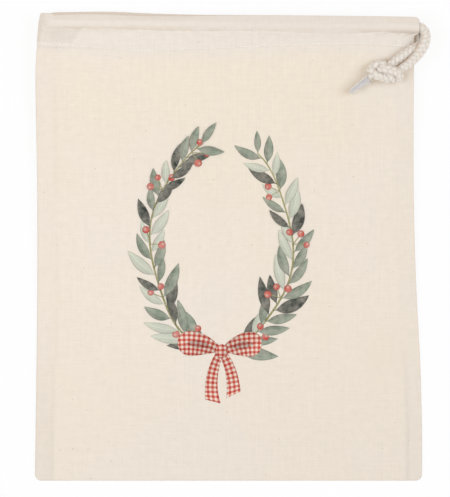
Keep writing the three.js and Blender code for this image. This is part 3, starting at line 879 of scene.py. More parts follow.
# How far below the stitching the turned hem ends, at places across the bag
HEM = ((-0.123, 0.002), (-0.108, 0.0023), (-0.095, 0.0015), (-0.08, 0.0011), (0.0, 0.001), (0.122, 0.0012))
# Painted shade along the end of the turned hem, where its step shades the cloth: how much darker the cloth
# is there, at places across the bag
HEM_SHADE = ((-0.123, 0.045), (-0.108, 0.042), (-0.097, 0.018), (-0.04, 0.014), (0.122, 0.008))
HEM_LINE = 0.0011
# How many plies darker the hem makes the cloth over it, and the painted shade that fades slowly below it,
# partly the hem's greyer tone, with their widths
HEM_PLY, HEM_PLY_EDGE, HEM_GLOOM, HEM_GLOOM_REACH = 0.35, 0.0006, 0.65, 0.012
# How far below the stitching that painted shade is full, and how many plies an allowance counts for
HEM_GLOOM_FULL, ALLOWANCE_PLY = 0.001, 0.3
# Height of the row of stitches above a line parallel to the mouth, at places across the bag
STITCH_WOBBLE = {
    1: ((-0.123, 0.0006), (-0.109, 0.0004), (-0.102, -0.0001), (-0.096, -0.0009), (-0.083, -0.0017),
        (-0.072, -0.0028), (-0.058, -0.0032), (-0.045, -0.0029), (-0.018, -0.0017),
        (0.01, 0.0), (0.027, 0.0009), (0.05, 0.0022), (0.09, 0.0027), (0.122, 0.0014)),
    -1: ((-0.123, 0.0006), (-0.06, -0.0012), (0.0, 0.0008), (0.07, -0.0006), (0.122, 0.001)),
}
# How far the folded edge of the mouth stands past the solid's, at places across the bag
MOUTH_WAVE = {
    1: ((-0.123, -0.0008), (-0.113, -0.0012), (-0.09, -0.0005), (-0.07, -0.0009), (-0.05, -0.0014),
        (-0.018, -0.0008), (0.012, -0.0001), (0.05, 0.0001), (0.1, 0.0001), (0.12, 0.0)),
    -1: ((-0.123, 0.0004), (-0.114, 0.0008), (-0.105, 0.0011), (-0.096, 0.0013), (-0.083, 0.0016),
         (-0.07, 0.0016), (-0.057, 0.001), (-0.04, 0.0006), (-0.018, 0.0003), (0.02, 0.0005),
         (0.05, -0.0004), (0.122, 0.0)),
}
# How much more steeply than a taut cloth the casing leaves the cord, in degrees, at places across the bag
SLACK = (
    (-0.123, 12), (-0.112, 20), (-0.102, 30), (-0.094, 45), (-0.06, 38), (-0.03, 32), (-0.012, 28),
    (0.004, 21), (0.06, 18), (0.076, 22), (0.095, 38), (0.106, 42), (0.122, 34),
)
# Height of the crease below the cord's bulge, from the cord's centre, at places across the bag
CREASE = (
    (-0.123, -0.0043), (-0.115, -0.0043), (-0.1, -0.0034), (-0.086, -0.0026), (-0.074, -0.0033),
    (-0.048, -0.0042), (-0.019, -0.0046), (0.02, -0.0039), (0.075, -0.0054), (0.097, -0.0036),
    (0.12, -0.0044),
)
CREASE_DEPTH = (
    (-0.123, 0.0003), (-0.112, 0.001), (-0.09, 0.0013), (-0.07, 0.0008), (-0.03, 0.001), (-0.021, 0.0003),
    (-0.012, 0.0011), (0.002, 0.0003), (0.012, 0.0009), (0.02, 0.0002), (0.03, 0.0006), (0.037, 0.0002),
    (0.051, 0.0006), (0.059, 0.0001), (0.08, 0.0005), (0.106, 0.0009), (0.122, 0.0004),
)
CREASE_WIDTH = 0.0007
# How far apart the front cloth, the back cloth and the seams are in the flat weave
FLAT_APART = 0.05


def stitch_y(x, facing):
    return mouth_y(x) - CASING_DEPTH + through(STITCH_WOBBLE[facing], x)


def near_stitching(x, above, facing):
    """How far outwards the stitches move the cloth: a groove, and on the front puckers and a step up."""
    groove = -GROOVE * np.exp(-((above / GROOVE_WIDTH) ** 2))
    if facing < 0:
        return groove
    pucker = PUCKER * waves(x, PUCKER_LENGTHS, 3) * np.exp(-np.abs(above) / PUCKER_REACH)
    return groove + pucker + CASING_STEP * smooth((above + through(HEM, x)) / through(STEP_WIDTH, x))


def panel_relief(x, y, facing):
    """Height that swells, puckers, stitches and seam allowances add to a panel's middle surface."""
    d = edge_distance(x, y)
    inner = smooth((d - CALM) / CALM_TO_FULL)
    near = near_stitching(x, y - stitch_y(x, facing), facing)
    stitching = facing * near * smooth(d / GROOVE_FROM_EDGE)
    if facing < 0:
        return BACK_SWELL * (1 + swells(x, y, SWELL_LENGTHS, 23)).clip(0) * inner + stitching
    up = rise(y)
    slow = SWELL * swells(x, y, SWELL_LENGTHS, 11) * (LOW_SWELLS + (1 - LOW_SWELLS) * up)
    streaks = STREAK * waves(x + STREAK_SLANT * y, RIPPLE_LENGTHS, 5) * (LOW_STREAKS + up**3)
    side = SIDE_PUCKER * waves(y + PUCKER_SLANT * x, PUCKER_LENGTHS, 9)
    side = side * np.exp(-d / SIDE_REACH) * smooth(d / PUCKER_GROWS)
    allowance = ALLOWANCE_STEP * over_allowance(x, y) * smooth(d / STEP_GROWS)
    return (slow + streaks) * inner + side + allowance + stitching


def surface_z(x, y, facing):
    return panel_z(x, y, facing) + panel_relief(x, y, facing)


def over_allowance(x, y):
    """1 where a seam allowance lies under the cloth, 0 elsewhere."""
    side = np.minimum(x - left_edge(y), right_edge(y) - x)
    return smooth((SEAM_ALLOWANCE - side) / ALLOWANCE_EDGE)


def allowance_shade(x, y):
    """How much darker the cloth is where the seam allowances show through it."""
    shade = 0
    fading = smooth((rise(y) - GHOSTS_FADE[0]) / GHOSTS_FADE[1])
    for inwards, (reach, ply, edge, kept) in zip((x - left_edge(y), right_edge(y) - x), GHOSTS):
        from_line = (inwards - reach - GHOST_SHIFT * fading) / (GHOST_LINE + GHOST_WIDER * fading)
        shade = shade + ply * smooth((reach + GHOST_PAST - inwards) / GHOST_SOFT) * (1 - fading)
        shade = shade + edge * np.exp(-(from_line**2)) * (1 - (1 - kept) * fading)
    return shade


def column_x(y):
    """The x of every column at each y; y has one value for each column."""
    left = left_edge(y) + HALF
    right = right_edge(y) - HALF
    x = np.empty_like(y)
    x[:OUTER] = left[:OUTER] + NEAR
    x[-OUTER:] = right[-OUTER:] - NEAR[::-1]
    m = slice(OUTER, len(y) - OUTER)
    x[m] = left[m] + ROLL + (right[m] - left[m] - 2 * ROLL) * MIDDLE
    return x


def corner_row(up):
    """One row of a panel near the bottom fold, where the corners draw it in."""
    y = np.full(2 * OUTER + len(MIDDLE), BOTTOM_Y + HALF + up)
    x = column_x(y)
    cut = INSET - math.sqrt(max(INSET**2 - (INSET - min(up, INSET)) ** 2, 0))
    left, right = x[0], x[-1]
    centre = (left + right) / 2
    return centre + (x - centre) * (1 - 2 * cut / (right - left)), y


def panel_rows(facing):
    """Rows of points on a panel's middle surface, from the bottom fold to the stitching."""
    rows = []

    def add(x, y, z):
        rows.append(np.stack([x, y, z], axis=1))

    start = [UNDER_FOLD[0], INSET]
    if facing > 0:
        for up in (*UNDER_FOLD, *FOLD_ROWS[4:0:-1]):
            x, y = corner_row(up)
            add(x, y, panel_z(x, y, -1))
        x, y = corner_row(0)
        add(x, y, np.broadcast_to(seam_z(y), x.shape))
        start = FOLD_ROWS[1:]
    for up in start:
        x, y = corner_row(up)
        add(x, y, surface_z(x, y, facing))
    low = np.full_like(y, BOTTOM_Y + CORNER_RADIUS)
    top = low + BAG_HEIGHT - CASING_DEPTH
    for _ in range(3):  # Each column's x depends a little on how high it ends
        top = stitch_y(column_x(top), facing)
    step = (top - EVEN_END - low) / PANEL_ROWS
    for y in [low + step * k for k in range(1, PANEL_ROWS + 1)] + [top - below for below in NEAR_ROWS]:
        x = column_x(y)
        add(x, y, surface_z(x, y, facing))
    return rows


def casing_columns(foot, facing):
    """For every column: the cord's centre, the way out from it, and the fold's shift along that way."""
    columns = len(foot)
    centre_x = foot[:, 0].copy()
    out = np.zeros((columns, 3))
    out[:, 2] = facing
    z = np.full(columns, FRONT_CORD_Z if facing > 0 else BACK_CORD_Z)
    reach = BEND_X - MOUTH_LEFT - HALF
    turning = NEAR < reach
    last = math.acos(GAP / 2 / BEND_RADIUS)
    angle = last * np.arcsin(1 - NEAR[turning] / reach) * 2 / math.pi
    k = np.flatnonzero(turning)
    centre_x[k] = BEND_X - BEND_RADIUS * np.sin(angle)
    z[k] = SEAM_TOP_Z + facing * BEND_RADIUS * np.cos(angle)
    out[k] = np.stack([-np.sin(angle), np.zeros_like(angle), facing * np.cos(angle)], axis=1)
    squared = np.zeros(columns)
    squared[k] = (CASING_OUTER - FOLD_RADIUS - MOUTH_CORNER) * np.sin(angle)
    start = MOUTH_RIGHT - HALF - ROLL
    centre_x[-OUTER:] = start + (CASING_END - start) * (1 - NEAR[::-1] / ROLL)
    centre = np.stack([centre_x, mouth_y(centre_x) - CORD_BELOW_MOUTH, z], axis=1)
    return centre, out, squared


# The mouth's turned corner at the casing's open end: where it begins and how far it drops
CORNER_X, CORNER_DROP = 0.0032, 0.0023
# Rows of the casing's outer ply below the cord, over the cord, round the fold and of the inner ply
FLAT_ROWS, OVER_ROWS, FOLD_STEPS, INNER_ROWS = 28, 9, 6, 8
# How much closer together the outer ply's rows get towards the cord, and its steepest curve's power
CROWDED, STEEPEST = 1.35, 9.0
# Where the stitching lies lower than this under the cord, the cloth hangs loose between the two
LOOSE_UNDER, LOOSE_OVER = 0.0005, 0.002
# How much loose cloth ripples below the cord and stands off it, and the air between the casing's plies
CASING_RIPPLE, STAND_OFF, PLY_AIR = 0.00016, 0.00012, 0.00002
# The stand-off's level over its ripples, and the share by which ripples change the slack
STAND_LEVEL, SLACK_RIPPLE = 1.2, 0.25
# Round the bend at the left, the groove goes where the cloth faces up or down by more than this share,
# and over what share it grows
UPRIGHT_FROM, UPRIGHT_OVER = 0.6, 0.3
# Painted shade on the front casing's left end: the x of its slanted end at a height below the cord, how
# that x grows upwards, the height, and the widths over which its end, top and bottom fade
LEFT_END_SHADE_X, LEFT_END_SHADE_SLANT, LEFT_END_SHADE_V = -0.0986, 0.65, -0.0126
LEFT_END_SHADE_END, LEFT_END_SHADE_TOP, LEFT_END_SHADE_BOTTOM = 0.0035, 0.0008, 0.0016
# How far above the crease the painted shade's top lies, and above the stitching its bottom
LEFT_END_SHADE_OVER_CREASE, LEFT_END_SHADE_OVER_STITCHES = 0.0004, 0.0002
# How many plies darker the painted shade is left and right of a place, and the change's width
LEFT_END_SHADE_PLIES, LEFT_END_SHADE_CHANGE, LEFT_END_SHADE_CHANGE_WIDTH = (0.4, 0.78), -0.1165, 0.004
# How far the casing's left end leans in at its mouth, how far across the bag that goes, and over what
# height it grows, from how far below the cord
LEAN, LEAN_REACH, LEAN_HEIGHT, LEAN_BELOW = 0.0008, 0.02, 0.016, 0.012
# Over what distance from the bend at the left the mouth's waves grow
WAVE_GROWS = 0.009
# Heights between which the casing's open end comes down from the cord to the side seam
MOUTH_LIP = {1: (-0.004, -0.0062), -1: (-0.0108, -0.0142)}


def casing_rows(foot, facing):
    """Rows of points from the stitching over the cord, round the fold and down the inner ply."""
    centre, out, squared = casing_columns(foot, facing)
    on_right = np.arange(len(foot)) > len(foot) / 2
    radius = CASING_OUTER - HALF
    small = FOLD_RADIUS - HALF
    base = foot - centre
    v_foot = base[:, 1]
    w_foot = np.einsum("ij,ij->i", base, out)
    aside = base - w_foot[:, None] * out
    aside[:, 1] = 0
    x = centre[:, 0]
    ripple = waves(x, RIPPLE_LENGTHS, 31)
    loose = smooth((LOOSE_UNDER - w_foot) / LOOSE_OVER)
    stand = STAND_OFF * (STAND_LEVEL + ripple).clip(0) * loose
    leaning = LEAN * (1 - smooth((x - MOUTH_LEFT) / LEAN_REACH))
    rows = []

    def add(v, w, kept=0.0):
        """A row at heights v and ways out w, with a share kept of how far aside its foot is."""
        place = centre + out * w[:, None] + aside * np.broadcast_to(kept, v.shape)[:, None]
        place[:, 1] += v
        place[:, 0] += leaning * smooth((v + LEAN_BELOW) / LEAN_HEIGHT)
        rows.append(place)

    def add_flat(v, w, kept):
        """The same for cloth between stitching and cord, where the open end has its own shape."""
        high, low = MOUTH_LIP[facing]
        add(v, w, np.where(on_right, smooth((high - v) / (high - low)), kept))

    def add_round(angle, v=0.0, w=0.0, size=radius, off=0.0):
        """A row at an angle of a round about a middle, off it by a little outwards."""
        add(v + size * np.sin(angle), w + (size + off) * np.cos(angle))

    # The outer ply, from the stitching to the round over the cord
    upright = smooth((np.abs(out[:, 2]) - UPRIGHT_FROM) / UPRIGHT_OVER)
    w_flat = w_foot - near_stitching(x, 0 * x, facing) * upright
    span = np.hypot(v_foot, w_flat)
    taut = np.arcsin(radius / span) - np.arctan2(w_flat, -v_foot)
    lower = taut + np.radians(through(SLACK, x)) * (1 + SLACK_RIPPLE * ripple) * loose
    length, climb = -radius * np.sin(lower) - v_foot, radius * np.cos(lower) - w_flat
    level = np.abs(climb) < 1e-5
    power = np.where(level, 1.0, np.tan(lower) * length / np.where(level, 1, climb))
    power = np.clip(power, 1.0, STEEPEST)
    for k in range(1, FLAT_ROWS + 1):
        u = 1 - (1 - k / FLAT_ROWS) ** CROWDED
        v = v_foot + length * u
        sewn = near_stitching(x, v - v_foot, facing) * (1 - u**4) * upright
        waved = CASING_RIPPLE * ripple * math.sin(math.pi * u) * loose
        crease = np.exp(-(((v - through(CREASE, x)) / CREASE_WIDTH) ** 2))
        creased = through(CREASE_DEPTH, x) * crease * loose * (1 - u**12)
        w = w_flat + climb * u**power + sewn + waved - creased + stand * u**3
        add_flat(v, w, 1 - smooth(u))

    # Over the cord, along to the folded edge and round it
    rounding = np.clip((x - (CASING_END - CORNER_X)) / CORNER_X, 0, 1)
    drop = CORNER_DROP * (1 - np.sqrt(1 - rounding**2))
    wave = through(MOUTH_WAVE[facing], x) * smooth((x - BEND_X + BEND_RADIUS) / WAVE_GROWS)
    v_fold = CORD_BELOW_MOUTH - FOLD_RADIUS + wave - drop
    steep = np.arcsin((radius - small) / np.hypot(v_fold, squared))
    upper = steep - np.arctan2(squared, v_fold)
    under = steep + np.arctan2(squared, v_fold)
    for k in range(1, OVER_ROWS + 1):
        add_round(-lower + (upper + lower) * k / OVER_ROWS, off=stand)
    for share in (1 / 3, 2 / 3, 1):
        size = radius + (small - radius) * share
        add_round(upper, v_fold * share, squared * share, size, stand * (1 - share))
    for k in range(1, FOLD_STEPS + 1):
        add_round(upper + (math.pi - under - upper) * k / FOLD_STEPS, v_fold, squared, small)

    # Down the inner ply to the stitching
    w_inner = w_foot - CLOTH - PLY_AIR
    leaving = np.arcsin(radius / np.hypot(v_foot, w_inner)) + np.arctan2(w_inner, -v_foot)
    for k in range(1, INNER_ROWS + 1):
        add_round(math.pi - under + (under + leaving) * k / INNER_ROWS)
    v_leave, w_leave = -radius * np.sin(leaving), -radius * np.cos(leaving)
    for k in range(1, INNER_ROWS + 1):
        u = k / INNER_ROWS
        add_flat(v_leave + (v_foot - v_leave) * u, w_leave + (w_inner - w_leave) * u, smooth(u))
    return rows


def cloth_grid(facing):
    """All points of one half of the cloth, with each one's place in the flat weave, its plies with painted
    shade, and its shade: where allowances show through, and painted shade along the hem's end.
    """
    rows = panel_rows(facing)
    stitched = len(rows)
    rows += casing_rows(rows[-1], facing)
    grid = np.stack(rows)
    grid[..., 2] = np.maximum(grid[..., 2], HALF)
    u = arc_length(grid, axis=1)
    middle = grid.shape[1] // 2
    u = u - u[:, middle : middle + 1] + grid[:1, middle, 0]
    v = np.median(arc_length(grid), axis=1, keepdims=True) + BOTTOM_Y
    flat = np.dstack([u, np.broadcast_to(v, u.shape), np.full_like(u, FLAT_APART * facing)])
    plies_and_shade = np.zeros(u.shape)
    plies_and_shade[stitched:] = 1
    if facing > 0:
        casing = slice(stitched, stitched + FLAT_ROWS)
        # Painted shade on the front casing's left end
        plies_and_shade[casing] += painted_left_end_shade(grid[casing, :, 0], grid[casing, :, 1])
    x, y = grid[:stitched, :, 0], grid[:stitched, :, 1]
    above = y - stitch_y(x, facing)
    hem_plies_and_shade = HEM_PLY * smooth((above + through(HEM, x)) / HEM_PLY_EDGE)
    # Painted shade that fades slowly below the hem's step, partly the hem's greyer tone
    hem_plies_and_shade = hem_plies_and_shade + HEM_GLOOM * smooth((above + HEM_GLOOM_REACH) / (HEM_GLOOM_REACH - HEM_GLOOM_FULL))
    plies_and_shade[:stitched] = np.maximum(hem_plies_and_shade, ALLOWANCE_PLY * over_allowance(x, y))
    shade = np.zeros(u.shape)
    # Where allowances show through, and painted shade along the turned hem's end
    hem_edge = np.exp(-(((above + through(HEM, x)) / HEM_LINE) ** 2))
    shade[:stitched] = allowance_shade(x, y) + (through(HEM_SHADE, x) * hem_edge if facing > 0 else 0)
    return grid, flat, plies_and_shade, shade


def painted_left_end_shade(x, y):
    """Painted shade on the front casing's left end, as a number of plies darker."""
    v = y - mouth_y(x) + CORD_BELOW_MOUTH
    least, most = LEFT_END_SHADE_PLIES
    return (
        smooth((LEFT_END_SHADE_X + LEFT_END_SHADE_SLANT * (v - LEFT_END_SHADE_V) - x) / LEFT_END_SHADE_END)
        * smooth((through(CREASE, x) + LEFT_END_SHADE_OVER_CREASE - v) / LEFT_END_SHADE_TOP)
        * smooth((y - stitch_y(x, 1) - LEFT_END_SHADE_OVER_STITCHES) / LEFT_END_SHADE_BOTTOM)
        * (least + (most - least) * smooth((x - LEFT_END_SHADE_CHANGE) / LEFT_END_SHADE_CHANGE_WIDTH))
    )


def sheet_object(name, grid, thickness, flat, plies_and_shade, shade):
    points, faces = closed_sheet(grid, thickness)
    floats = {"plies_and_shade": doubled(plies_and_shade), "shade": doubled(shade)}
    return mesh_object(name, points, faces, CALICO_MATERIAL, floats, {"flat": doubled(flat)})


def cloth_object(name, facing):
    grid, *values = (each[:, ::facing] for each in cloth_grid(facing))
    return sheet_object(name, grid, CLOTH, *values)


SEAM_ROWS, SEAM_COLUMNS = 120, 10


def seam_object(name, side):
    """A side seam's two allowances, sewn together inside the bag."""
    top = float(mouth_y(side * MOUTH_RIGHT)) - CASING_DEPTH - CLOTH - GAP
    ys = np.linspace(BOTTOM_Y + CORNER_RADIUS, top, SEAM_ROWS)
    y, share = np.meshgrid(ys, np.linspace(0, 1, SEAM_COLUMNS), indexing="ij")
    edge = left_edge(y) if side < 0 else right_edge(y)
    x = edge - side * (CLOTH + 2 * GAP) - side * SEAM_ALLOWANCE * share
    z = seam_z(y) + STREAK * waves(y, PUCKER_LENGTHS, 41 + side) * share
    flat = np.dstack([x, y, np.full_like(x, 2 * FLAT_APART)])
    return sheet_object(name, np.dstack([x, y, z])[:, ::-side], 2 * CLOTH, flat, 1 + 0 * x, 0 * x)


# Print on the front: a wreath of slender leaves and berries, tied with a checked bow

PRINT_MIDDLE = np.array([-0.0045, 0.0015])
# The wreath's ring: half its width and half its height, and how far and how often it swings in and out
RING, RING_SWING, RING_SWINGS = (0.0455, 0.066), 0.028, 5
# Films of ink: their thickness, how far the lowest is off the cloth, and each next one off the last
INK_THICKNESS = 0.00002
INK_LIFT, INK_STEP = 0.00004, 0.000022
# Shapes nearer to one another than this lie in different layers
INK_CLEARANCE = 0.0006
INK_ACROSS = 7
# Degrees at which the left and the right stem end, at which stems and leaves start, and by which the
# leaves go on further than the stems
STEM_ENDS = (-1, 163), (1, 150)
STEM_START, LEAVES_START, LEAVES_PAST = 3, 12, 3
STEM_ROWS, LEAF_ROWS, STALK_ROWS, BERRY_ROWS = 110, 15, 6, 11
# Degrees between one side's leaves, and the ranges of their lengths, of their turns off the stem, of
# their widths as shares of the lengths, and of their bends
LEAF_GAP, LEAF_LENGTHS = 9.2, (0.018, 0.0265)
LEAF_TURNS, LEAF_WIDTHS, LEAF_BENDS = (0.5, 0.95), (0.25, 0.34), (0.1, 0.6)
# How much longer the lowest leaves are, and what they lose of that up to these degrees
LEAF_LONGER, LEAF_LOSS, LEAF_LOSS_BY = 1.08, 0.32, 160
# Colours of the leaves up to a random number, with the level of a leaf's one half
LEAF_COLOURS = (0.3, INK_DARK, 1.45), (0.7, INK_SAGE, 0.72), (1, INK_PALE, 0.93)
# Where on its spine a leaf's stalk ends and its blade starts, and its outline's powers
STALK_END, BLADE_START, BELLY, ROUNDNESS = 0.12, 0.1, 0.8, 0.85
# Half widths of the stems, at their foot and tip, and of the stalks, and the stalks' lengths
STEM_WIDTH, STALK_WIDTH, STALK_LENGTHS = (0.00075, 0.0004), 0.00022, (0.0055, 0.0085)
# The first leaf of a side that has berries, and which ones do after it
BERRIES_FIRST, BERRIES_EVERY = 3, 7
# The berries' turn off the stem's way, their turns from one another, their size and its range of shares
BERRIES_OFF, BERRY_TURNS, BERRY, BERRY_SHARES = 0.7, [-0.75, 0.05, 0.8], 0.0046, (0.85, 1.08)
# A berry's gleam: its place along and across the berry, its sizes there, and its strength
GLEAM_ALONG, GLEAM_ACROSS, GLEAM_SIZES, GLEAM = 0.62, 0.3, (0.17, 0.3), 0.75
# The bow's tails and loops: heading, length, bend, and for a tail how far its end is cut aslant
BOW_TAILS = (-2.1, 0.034, 0.75, 0.0022), (-1.02, 0.03, -0.6, -0.0024)
BOW_LOOPS = (2.72, 0.029, 0.55), (0.38, 0.0265, -0.45)
BOW_ROWS, HOLLOW_ROWS = 25, 13
# Half widths at a tail's and a loop's start, and what they grow by; a hollow's at its middle
TAIL_HALF, TAIL_GROWS, LOOP_HALF, LOOP_GROWS = 0.0022, 0.0024, 0.0012, 0.0068
HOLLOW_HALF = 0.0024
# The share of a loop at which it is widest, and the share over which it closes
LOOP_WIDEST, LOOP_CLOSES = 0.72, 0.281
# Half the length and half the width of the bow's knot
BOW_KNOT = (0.0042, 0.0035)
NO_SHADE = (1.0, 1.0, 1.0)


def ring_place(side, degrees):
    """A point of the wreath's ring and the way on from it; degrees count up each side from the bow."""
    angle = math.radians(degrees)
    swing = 1 + RING_SWING * math.sin(RING_SWINGS * angle + side)
    point = np.array([side * RING[0] * math.sin(angle), -RING[1] * math.cos(angle)]) * swing
    onwards = np.array([side * RING[0] * math.cos(angle), RING[1] * math.sin(angle)])
    return PRINT_MIDDLE + point, math.atan2(onwards[1], onwards[0])


def bent_line(start, heading, length, bend, count):
    """Points of a line that turns evenly by bend over its length."""
    turns = heading + bend * np.linspace(0, 1, count)[:-1]
    steps = np.stack([np.cos(turns), np.sin(turns)], axis=1) * length / (count - 1)
    return np.vstack([start, start + np.cumsum(steps, axis=0)])


class Inks:
    """Flat shapes drawn on the front cloth, each in a layer above the earlier ones that it covers."""

    def __init__(self):
        self.shapes = []

    def draw(self, spine, half_width, tint, kind, slant=0.0):
        """Adds a shape along its spine; tint gives its colour at shares along and across it."""
        half = np.maximum(half_width, 0.00006)
        layer = 0
        for shape in self.shapes:
            apart = np.linalg.norm(shape["spine"][:, None] - spine[None, :], axis=2)
            if (apart < shape["half"][:, None] + half + INK_CLEARANCE).any():
                layer = max(layer, shape["layer"] + 1)
        self.shapes.append(dict(spine=spine, half=half, tint=tint, kind=kind, slant=slant, layer=layer))

    def grid(self, shape):
        spine, half = shape["spine"], shape["half"]
        tangent = np.gradient(spine, axis=0)
        tangent /= np.linalg.norm(tangent, axis=1, keepdims=True)
        beside = np.stack([-tangent[:, 1], tangent[:, 0]], axis=1)
        side = np.linspace(1, -1, INK_ACROSS)
        share = np.linspace(0, 1, len(spine))
        flat = spine[:, None] + beside[:, None] * (half[:, None] * side)[..., None]
        flat = flat + tangent[:, None] * (shape["slant"] * side * share[:, None] ** 8)[..., None]
        x, y = flat[..., 0], flat[..., 1]
        z = surface_z(x, y, 1) + HALF + INK_LIFT + INK_STEP * shape["layer"]
        share, side = np.meshgrid(share, side, indexing="ij")
        run = np.broadcast_to(arc_length(spine)[:, None], share.shape)
        return np.stack([x, y, z], axis=2), share, side, run, half[:, None] * side

    def make(self, name, kind, material):
        parts = []
        for shape in self.shapes:
            if shape["kind"] == kind:
                grid, share, side, run, off = self.grid(shape)
                none = np.zeros(share.shape)
                values = ([shape["tint"](share, side), none + 1], [share, side, none], [run, off, none])
                sheet = closed_sheet(grid, INK_THICKNESS, above=1.0)
                parts.append((*sheet, *(doubled(np.dstack(value)) for value in values)))
        points, faces, tints, drawn, along = merged(parts)
        flat = points * (1, 1, 0) + (0, 0, FLAT_APART)
        vectors = {"flat": flat, "drawn": drawn, "along": along}
        plies_and_shade = {"plies_and_shade": np.zeros(len(points))}
        return mesh_object(name, points, faces, material, plies_and_shade, vectors, {"ink": tints})


def toned(colour, base=1.0, tip=1.0, left=1.0, right=1.0):
    """A tint that changes from base to tip and from one side of the spine to the other."""
    def tint(share, side):
        level = (base + (tip - base) * share) * (left + (right - left) * smooth(0.5 - side / 0.5))
        return level[..., None] * np.array(colour)
    return tint


def draw_leaf(inks, place, heading, length, width, bend, colour, half_shade):
    """A slender leaf, widest before its middle, on a short stalk."""
    spine = bent_line(place, heading, length, bend, LEAF_ROWS)
    share = np.linspace(0, 1, LEAF_ROWS)
    blade = np.clip((share - BLADE_START) / (1 - BLADE_START), 0, 1)
    outline = width / 2 * np.sin(math.pi * blade**BELLY) ** ROUNDNESS
    half = np.where(share < STALK_END, STALK_WIDTH, outline)
    inks.draw(spine, half, toned(colour, 0.86, 1.1, half_shade, 1.0), "leaf")


def berry_tint(share, side):
    """Red that is deeper at the ends of a berry's spine, with a pale gleam."""
    along, across = (share - GLEAM_ALONG) / GLEAM_SIZES[0], (side - GLEAM_ACROSS) / GLEAM_SIZES[1]
    gleam = GLEAM * np.exp(-(along**2) - across**2)[..., None]
    deep = (1.08 - 0.5 * np.abs(share - 0.5) ** 1.5)[..., None]
    return np.array(INK_BERRY) * deep * (1 - gleam) + np.array(INK_PALE) * gleam


def draw_berries(inks, rng, place, heading):
    """Two or three round berries on short stalks."""
    for turn in rng.permutation(BERRY_TURNS)[: rng.integers(2, 4)]:
        stalk = bent_line(place, heading + turn, rng.uniform(*STALK_LENGTHS), 0.4 * turn, STALK_ROWS)
        inks.draw(stalk, np.full(STALK_ROWS, STALK_WIDTH), toned(INK_STEM, 0.8, 0.9), "leaf")
        size = BERRY * rng.uniform(*BERRY_SHARES)
        away = np.array([math.cos(heading + 1.4 * turn), math.sin(heading + 1.4 * turn)])
        spine = stalk[-1] + away * size * np.linspace(-0.1, 0.9, BERRY_ROWS)[:, None]
        outline = size / 2 * np.sqrt(1 - np.linspace(-0.995, 0.995, BERRY_ROWS) ** 2)
        inks.draw(spine, outline, berry_tint, "leaf")


def draw_wreath(inks):
    rng = np.random.default_rng(29)
    for side, last in STEM_ENDS:
        degrees = np.linspace(STEM_START, last, STEM_ROWS)
        spine = np.array([ring_place(side, each)[0] for each in degrees])
        width = np.linspace(*STEM_WIDTH, STEM_ROWS)
        inks.draw(spine, width, toned(INK_STEM, 0.72, 1.05, 0.8, 1.0), "leaf")
    for side, last in STEM_ENDS:
        for k, degrees in enumerate(np.arange(LEAVES_START, last + LEAVES_PAST, LEAF_GAP / 2)):
            place, onwards = ring_place(side, degrees)
            out = 1 if k % 2 else -1
            heading = onwards + out * rng.uniform(*LEAF_TURNS)
            length = rng.uniform(*LEAF_LENGTHS) * (LEAF_LONGER - LEAF_LOSS * (degrees / LEAF_LOSS_BY))
            width = length * rng.uniform(*LEAF_WIDTHS)
            bend = -out * rng.uniform(*LEAF_BENDS)
            number = rng.random()
            look = next(rest for limit, *rest in LEAF_COLOURS if number < limit)
            draw_leaf(inks, place, heading, length, width, bend, *look)
            if k % BERRIES_EVERY == BERRIES_FIRST:
                draw_berries(inks, rng, place, onwards - out * BERRIES_OFF)


def draw_bow(inks):
    """A ribbon bow at the foot of the wreath: two tails, two loops that show their inside, and a knot."""
    middle = ring_place(1, 0)[0] + (0, -0.001)
    share = np.linspace(0, 1, BOW_ROWS)
    for heading, length, bend, slant in BOW_TAILS:
        spine = bent_line(middle, heading, length, bend, BOW_ROWS)
        inks.draw(spine, TAIL_HALF + TAIL_GROWS * share**0.8, toned(NO_SHADE, 0.8, 1.0), "bow", slant)
    grown = np.sin(math.pi / 2 * np.clip(share / LOOP_WIDEST, 0, 1)) ** 1.1
    round_end = np.sqrt(np.clip(1 - (np.clip(share - LOOP_WIDEST, 0, 1) / LOOP_CLOSES) ** 2, 0, 1))
    inner = HOLLOW_HALF * np.sin(math.pi * np.linspace(0, 1, HOLLOW_ROWS) ** 1.2) ** 0.9
    for heading, length, bend in BOW_LOOPS:
        spine = bent_line(middle, heading, length, bend, BOW_ROWS)
        shade = toned(NO_SHADE, 0.72, 1.04, 0.92, 1.0)
        inks.draw(spine, LOOP_HALF + LOOP_GROWS * grown * round_end, shade, "bow")
        hollow = bent_line(spine[5], heading + 0.25 * bend, 0.6 * length, 0.5 * bend, HOLLOW_ROWS)
        inks.draw(hollow, inner, toned(NO_SHADE, 0.5, 0.62), "bow")
    down = np.linspace(1, -1, HOLLOW_ROWS)
    spine = middle + np.stack([0 * down, BOW_KNOT[0] * down], axis=1)
    inks.draw(spine, BOW_KNOT[1] * (1 - 0.75 * down**4), toned(NO_SHADE, 1.0, 0.84, 0.85, 1.0), "bow")


# Stitches along both casings

STITCH_PITCH, STITCH_LENGTH, STITCH_RADIUS = 0.0022, 0.0019, 0.00033
STITCH_SIDES, STITCH_RINGS = 8, 7
STITCH_ROW = MOUTH_LEFT + 0.0034, MOUTH_RIGHT - 0.0012
# How far the thread stands out of the cloth, its ends dip back, and a stitch strays from its row
THREAD_RISE, THREAD_DIP, THREAD_STRAY = 0.0001, 0.00022, 0.00003


